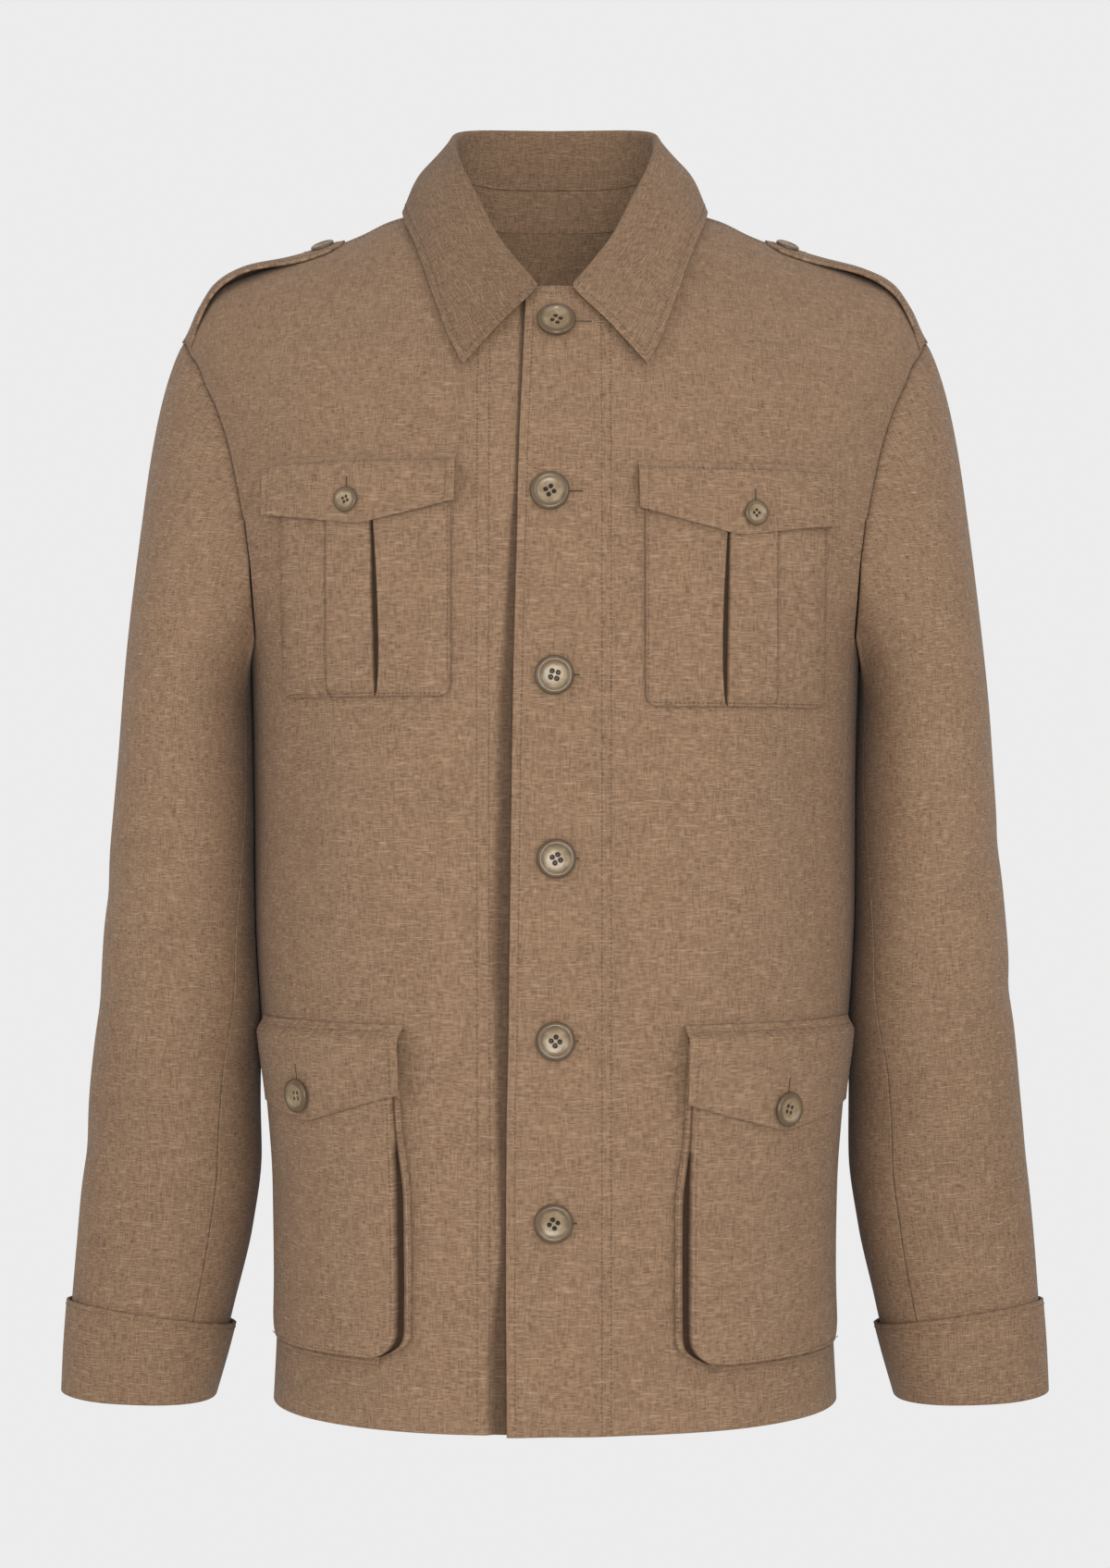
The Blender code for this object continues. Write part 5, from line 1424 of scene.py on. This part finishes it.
bellows = [
    dict(side=-1, word="Right", inner=0.0935, wide=0.1122, bottom=-0.6920, top=-0.5080, reach=-0.0045,
         flapIn=0.0880, flapWide=0.1228, flapTop=-0.4970, endIn=-0.5370, endOut=-0.5480,
         point=-0.5560, tip=0.474, buttonX=0.1394, buttonZ=-0.5400, turn=50),
    dict(side=1, word="Left", inner=0.0800, wide=0.127, bottom=-0.6950, top=-0.5080, reach=0.0,
         flapIn=0.0760, flapWide=0.136, flapTop=-0.4970, endIn=-0.5420, endOut=-0.5480,
         point=-0.5610, tip=0.419, buttonX=0.1257, buttonZ=-0.5470, turn=28)]
arcDegrees = np.linspace(0, 110, 441)
arcLine = sidePoint(arcDegrees, np.full(441, -0.600))   # round the body at the pockets' middle
arcLength = arcs(arcLine, 0)


def arcOf(x):
    # length of cloth from the front middle to a distance from it
    top = np.argmax(arcLine[:, 0])
    return np.interp(x, arcLine[:top, 0], arcLength[:top])


def onArc(side, arc, z, lift):
    # a point of the body by its length of cloth from the front middle and its height
    return onSide(side * np.interp(arc, arcLength, arcDegrees), z, lift)


def standOff(share):
    # the face stands proud at its inner side and falls by a smooth step to the outer one
    return form["proud"] - (form["proud"] - form["lowProud"]) * stepUp(0.35, 1.0, share)


# the gusset's folds as distances out from the face and lifts: inner side, outer side, below
bellowsLook = dict(
    wider=0.0030, behind=0.0085, slit=0.0043, corner=0.016, thick=0.0011, edge=0.0018, floor=0.0016,
    foldX=(0.0038, 0.0035, 0.0029, 0.0017, 0.0007, 0.00015), slitX=(0.85, 0.35), faceGap=0.00012,
    foldLift=(0.0000, 0.0018, 0.0030, 0.0034, 0.0029, -0.0002, -0.0006, -0.0006, 0.0002),
    outX=(0.00012, 0.0010, 0.0018, 0.0024, 0.0030), outLift=(0.0002, 0.0, 0.0003, 0.0010, 0.0),
    belowZ=(-0.0052, -0.0044, -0.0034, -0.0026, -0.0016, -0.0006, -0.0001),
    belowLift=(0.0, 0.0010, 0.0016, 0.0012, 0.0002, 0.0, 0.0002))


def buildBellows(p, look, flap):
    # the face stands off; beside it the gusset dips to the front and folds up again in a ridge
    side = p["side"]
    p = dict(p, wide=p["wide"] + look["wider"] + look["behind"])
    start = arcOf(p["inner"]) - look["wider"]
    tall = p["top"] - p["bottom"]
    height = np.concatenate([[0, 0.0006, 0.0014, 0.0028], np.linspace(0.005, 0.03, 12),
                             np.linspace(0.0335, tall, 50)])
    draw = roundCorner(height, look["corner"])[:, None]
    n = np.concatenate([[0, 0.004, 0.010], np.linspace(0.026, 0.974, 54), [0.990, 0.996, 1]])
    arc = start + draw + (p["wide"] - 2 * draw) * n
    share = (arc - start) / p["wide"]
    opening = stepUp(p["point"] + 0.006, p["point"] - 0.045, p["bottom"] + height)
    slit = 0.0004 + look["slit"] * opening[:, None]
    inX = -np.concatenate([slit + np.array(look["foldX"]), slit * np.array(look["slitX"]),
                           0 * slit + look["faceGap"]], 1)
    squeeze = 1 - 0.55 * stepUp(0.05, 0.0, height / tall)[:, None]
    full = np.concatenate([arc[:, :1] + inX * squeeze, arc, arc[:, -1:] + np.array(look["outX"])], 1)
    face = inX.shape[1]   # the first column of the face
    deep = np.zeros(full.shape)
    # painted shade in the slit beside the face, more where the slit opens wider
    deep[:, face - 4:face] = stepUp(0.0010, 0.0020, slit)
    top = standOff(share) + form["lay"] + form["cloth"]
    top = top - 0.0009 * (1 - stepUp(0.0, 0.004, np.minimum(n, 1 - n) * p["wide"]))
    inFold, outFold = [np.repeat(look["floor"] + np.array(look[key])[None], len(height), 0)
                       for key in ("foldLift", "outLift")]
    lift = np.concatenate([inFold, top, outFold], 1)
    z = p["bottom"] + np.repeat(height[:, None], full.shape[1], 1)
    belowZ, belowLift = np.array(look["belowZ"])[:, None], np.array(look["belowLift"])[:, None]
    extra = len(belowZ)
    full = np.concatenate([np.repeat(full[:1], extra, 0), full])
    z = np.concatenate([p["bottom"] + belowZ + 0 * full[:extra], z])
    under = np.minimum(look["floor"] + belowLift, np.maximum(lift[:1], look["floor"]))
    lift = np.concatenate([under + 0 * full[:extra], lift])
    outer, normal = onArc(side, full, z, lift)
    centre = start + p["wide"] / 2
    shrunk = centre + (full - centre) * (1 - look["thick"] / (p["wide"] / 2))
    zIn = np.maximum(z, p["bottom"] + look["belowZ"][0] + look["thick"])
    inner, _ = onArc(side, shrunk, zIn, np.maximum(lift - look["thick"], 0.0004))
    uv = np.stack([side * full + weaveStart["lowerPocket"], z], -1)
    deep = np.concatenate([np.zeros((extra, full.shape[1])), deep])
    away = full - full[:, face:face + 1] - look["edge"]
    name = "lowerPocket" + p["word"]
    clothPiece(name, outer, inner, uv, [away], held="laid",
               on=["front" + p["word"], "sidePanel" + p["word"]], rim=0.0007, deep=deep)
    group = name + "Stitching"
    rows = slice(extra + 10, None)
    sewEdge(group, outer[rows, face:], normal[rows, face:], "left", look["edge"])
    sewLine(group, *onArc(side, full[rows, 2], z[rows, 2], lift[rows, 2]))
    share = np.linspace(0.12, 0.97, 60)
    sewLine(group, *onArc(side, start + p["wide"] * share, np.full(60, p["bottom"] + look["edge"]),
                          standOff(share) + form["lay"] + form["cloth"]))
    buildLowerFlap(p, flap, side, start)


lowerFlapLook = dict(edge=0.0055, topLift=0.0022, thick=0.0016, clear=0.0006, flare=0.0030, flareWidth=0.12,
                     ramp=0.0095, longer=0.0052, wrap=0.0005, hole=(0.001, 0.0190), button=0.0205)


def buildLowerFlap(p, look, side, start):
    # lifts off the front over a short ramp, and then lies on the pocket's face
    first, total = arcOf(p["flapIn"]) - look["longer"], p["flapWide"] + look["longer"] + p["reach"]
    across, down, z = flapGrid(p, p["flapTop"], 76, 28, (p["tip"] * p["flapWide"] + look["longer"]) / total)
    arc = np.broadcast_to(first + total * across, z.shape)
    ramp = stepUp(0.0, look["ramp"], p["flapTop"] - z)
    face = standOff((arc - start) / p["wide"]) + 2 * (form["lay"] + form["cloth"]) - look["clear"]
    lift = look["topLift"] + (face - look["topLift"]) * ramp + flapFlare(across, down, look)
    lift = lift - look["wrap"] * stepUp(0.80, 1.0, across) * ramp
    outer, normal = onArc(side, arc, z, lift)
    uv = np.stack([side * arc + weaveStart["lowerFlap"], z], -1)
    finishFlap("lower", p, outer, normal, uv, look)
    spotArc = arcOf(p["buttonX"])
    below, above = look["hole"]
    zs = np.linspace(p["buttonZ"] - below, p["buttonZ"] + above, 22)
    level = standOff((spotArc - start) / p["wide"]) + 2 * (form["lay"] + form["cloth"]) - look["clear"]
    buttonhole(*onArc(side, np.full(22, spotArc), zs, np.full(22, level)))
    spot, facing = onArc(side, np.array(spotArc), np.array(p["buttonZ"]), np.array(level + 0.0006))
    buildButton("lowerButton" + p["word"], spot, facing, look["button"], p["turn"])


for pocket in bellows:
    buildBellows(pocket, bellowsLook, lowerFlapLook)
print("lower pockets built")


# stitching, painted shade strips in the buttonhole slits, and the thread under the buttons

for group, (points, quads, _) in sewing.items():
    material = wrapping if group == "buttonholeThread" else thread
    made = makeMesh(group, np.concatenate(points), np.concatenate(quads), material)


def joinGrids(name, grids, closed, material):
    # one mesh of many small grids of points; a closed one joins its last column to its first
    points, quads, count = [], [], 0
    for grid in grids:
        number = count + np.arange(grid.shape[0] * grid.shape[1]).reshape(grid.shape[:2])
        count += number.size
        if closed:
            number = np.concatenate([number, number[:, :1]], 1)
        points.append(grid.reshape(-1, 3))
        quads.append(np.stack([number[:-1, :-1], number[:-1, 1:], number[1:, 1:], number[1:, :-1]], -1))
    quads = np.concatenate([quad.reshape(-1, 4) for quad in quads])
    makeMesh(name, np.concatenate(points), quads, material)


shankShape = dict(sides=16, levels=(-0.0012, 0.0, 0.0009), widths=(1.15, 0.9, 1.0))


def shankGrid(spot, facing, radius):
    # rings round a button's axis, one for each level
    across, upward = faceAxes(facing)
    angle = np.arange(shankShape["sides"]) * 2 * math.pi / shankShape["sides"]
    ring = radius * (np.cos(angle)[:, None] * across + np.sin(angle)[:, None] * upward)
    levels, widths = [np.array(shankShape[key])[:, None, None] for key in ("levels", "widths")]
    return spot + levels * facing + ring * widths


joinGrids("buttonholeSlitShades", slitShadeStrips, False, slitShade)
joinGrids("buttonShanks", [shankGrid(*shank) for shank in shanks], True, thread)

for sheet in sheets:
    width, length = sheet["flat"]
    area = min(sheet["area"], width * length)
    group = sheet["piece"].name + "Stitching"
    partners = [bpy.data.objects[group]] if group in sewing else []
print("stitches:", sum(store[2] // 20 for store in sewing.values()), "sheets:", len(sheets))


# floor, light and camera

studioLook = dict(pale=(0.8388, 0.8388, 0.8388, 1), floor=-0.93, reach=4.0)
cameraLook = dict(lens=77.43, sensor=36.0, place=(0.0, -2.1, -0.357))


def floorMaterial(look):
    # an even glow in the colour of the ground behind the jacket
    g = Graph("paleFloor")
    glow = g.node("ShaderNodeEmission", None, {"Color": look["pale"], "Strength": 1.0})
    g.tree.links.new(glow.outputs[0], g.output.inputs["Surface"])
    return g.material


corners = np.array([(-1.0, -1.0, 0.0), (1.0, -1.0, 0.0), (1.0, 1.0, 0.0), (-1.0, 1.0, 0.0)])
corners = corners * studioLook["reach"]
floor = makeMesh("floor", corners + [0, 0, studioLook["floor"]], np.array([[0, 1, 2, 3]]),
                 floorMaterial(studioLook))

world = bpy.data.worlds.new("softStudio")
world.use_nodes = True
background = world.node_tree.nodes["Background"]
background.inputs["Color"].default_value = studioLook["pale"]
background.inputs["Strength"].default_value = 1.0
bpy.context.scene.world = world
bpy.context.scene.view_settings.view_transform = "Standard"


def addLight(name, place, aim, size, power, colour):
    # a round lamp turned from its place towards its aim
    light = bpy.data.lights.new(name, "AREA")
    light.shape = "DISK"
    light.size = size
    light.energy = power
    light.color = colour
    made = bpy.data.objects.new(name, light)
    made.location = place
    direction = np.array(aim) - np.array(place)
    flat = math.hypot(direction[0], direction[1])
    made.rotation_euler = (math.pi / 2 + math.atan2(direction[2], flat), 0,
                           math.atan2(direction[1], direction[0]) - math.pi / 2)
    bpy.context.scene.collection.objects.link(made)


addLight("keyLight", (1.8, -2.6, 0.9), (0.0, 0.0, -0.40), 1.5, 24.0, (1.0, 0.985, 0.965))
addLight("fillLight", (-2.2, -2.2, 0.1), (0.0, 0.0, -0.45), 2.0, 17.0, (1.0, 0.99, 0.98))
addLight("frontLight", (0.2, -3.3, -0.3), (0.0, 0.0, -0.50), 1.2, 54.0, (1.0, 0.99, 0.975))
addLight("neckLight", (0.0, -0.055, -0.115), (0.0, 0.06, -0.03), 0.06, 0.06, (1.0, 0.98, 0.95))

lens = bpy.data.cameras.new("camera")
lens.lens = cameraLook["lens"]
lens.sensor_width = cameraLook["sensor"]
camera = bpy.data.objects.new("camera", lens)
camera.location = cameraLook["place"]
camera.rotation_euler = (math.pi / 2, 0.0, 0.0)
bpy.context.scene.collection.objects.link(camera)
bpy.context.scene.camera = camera
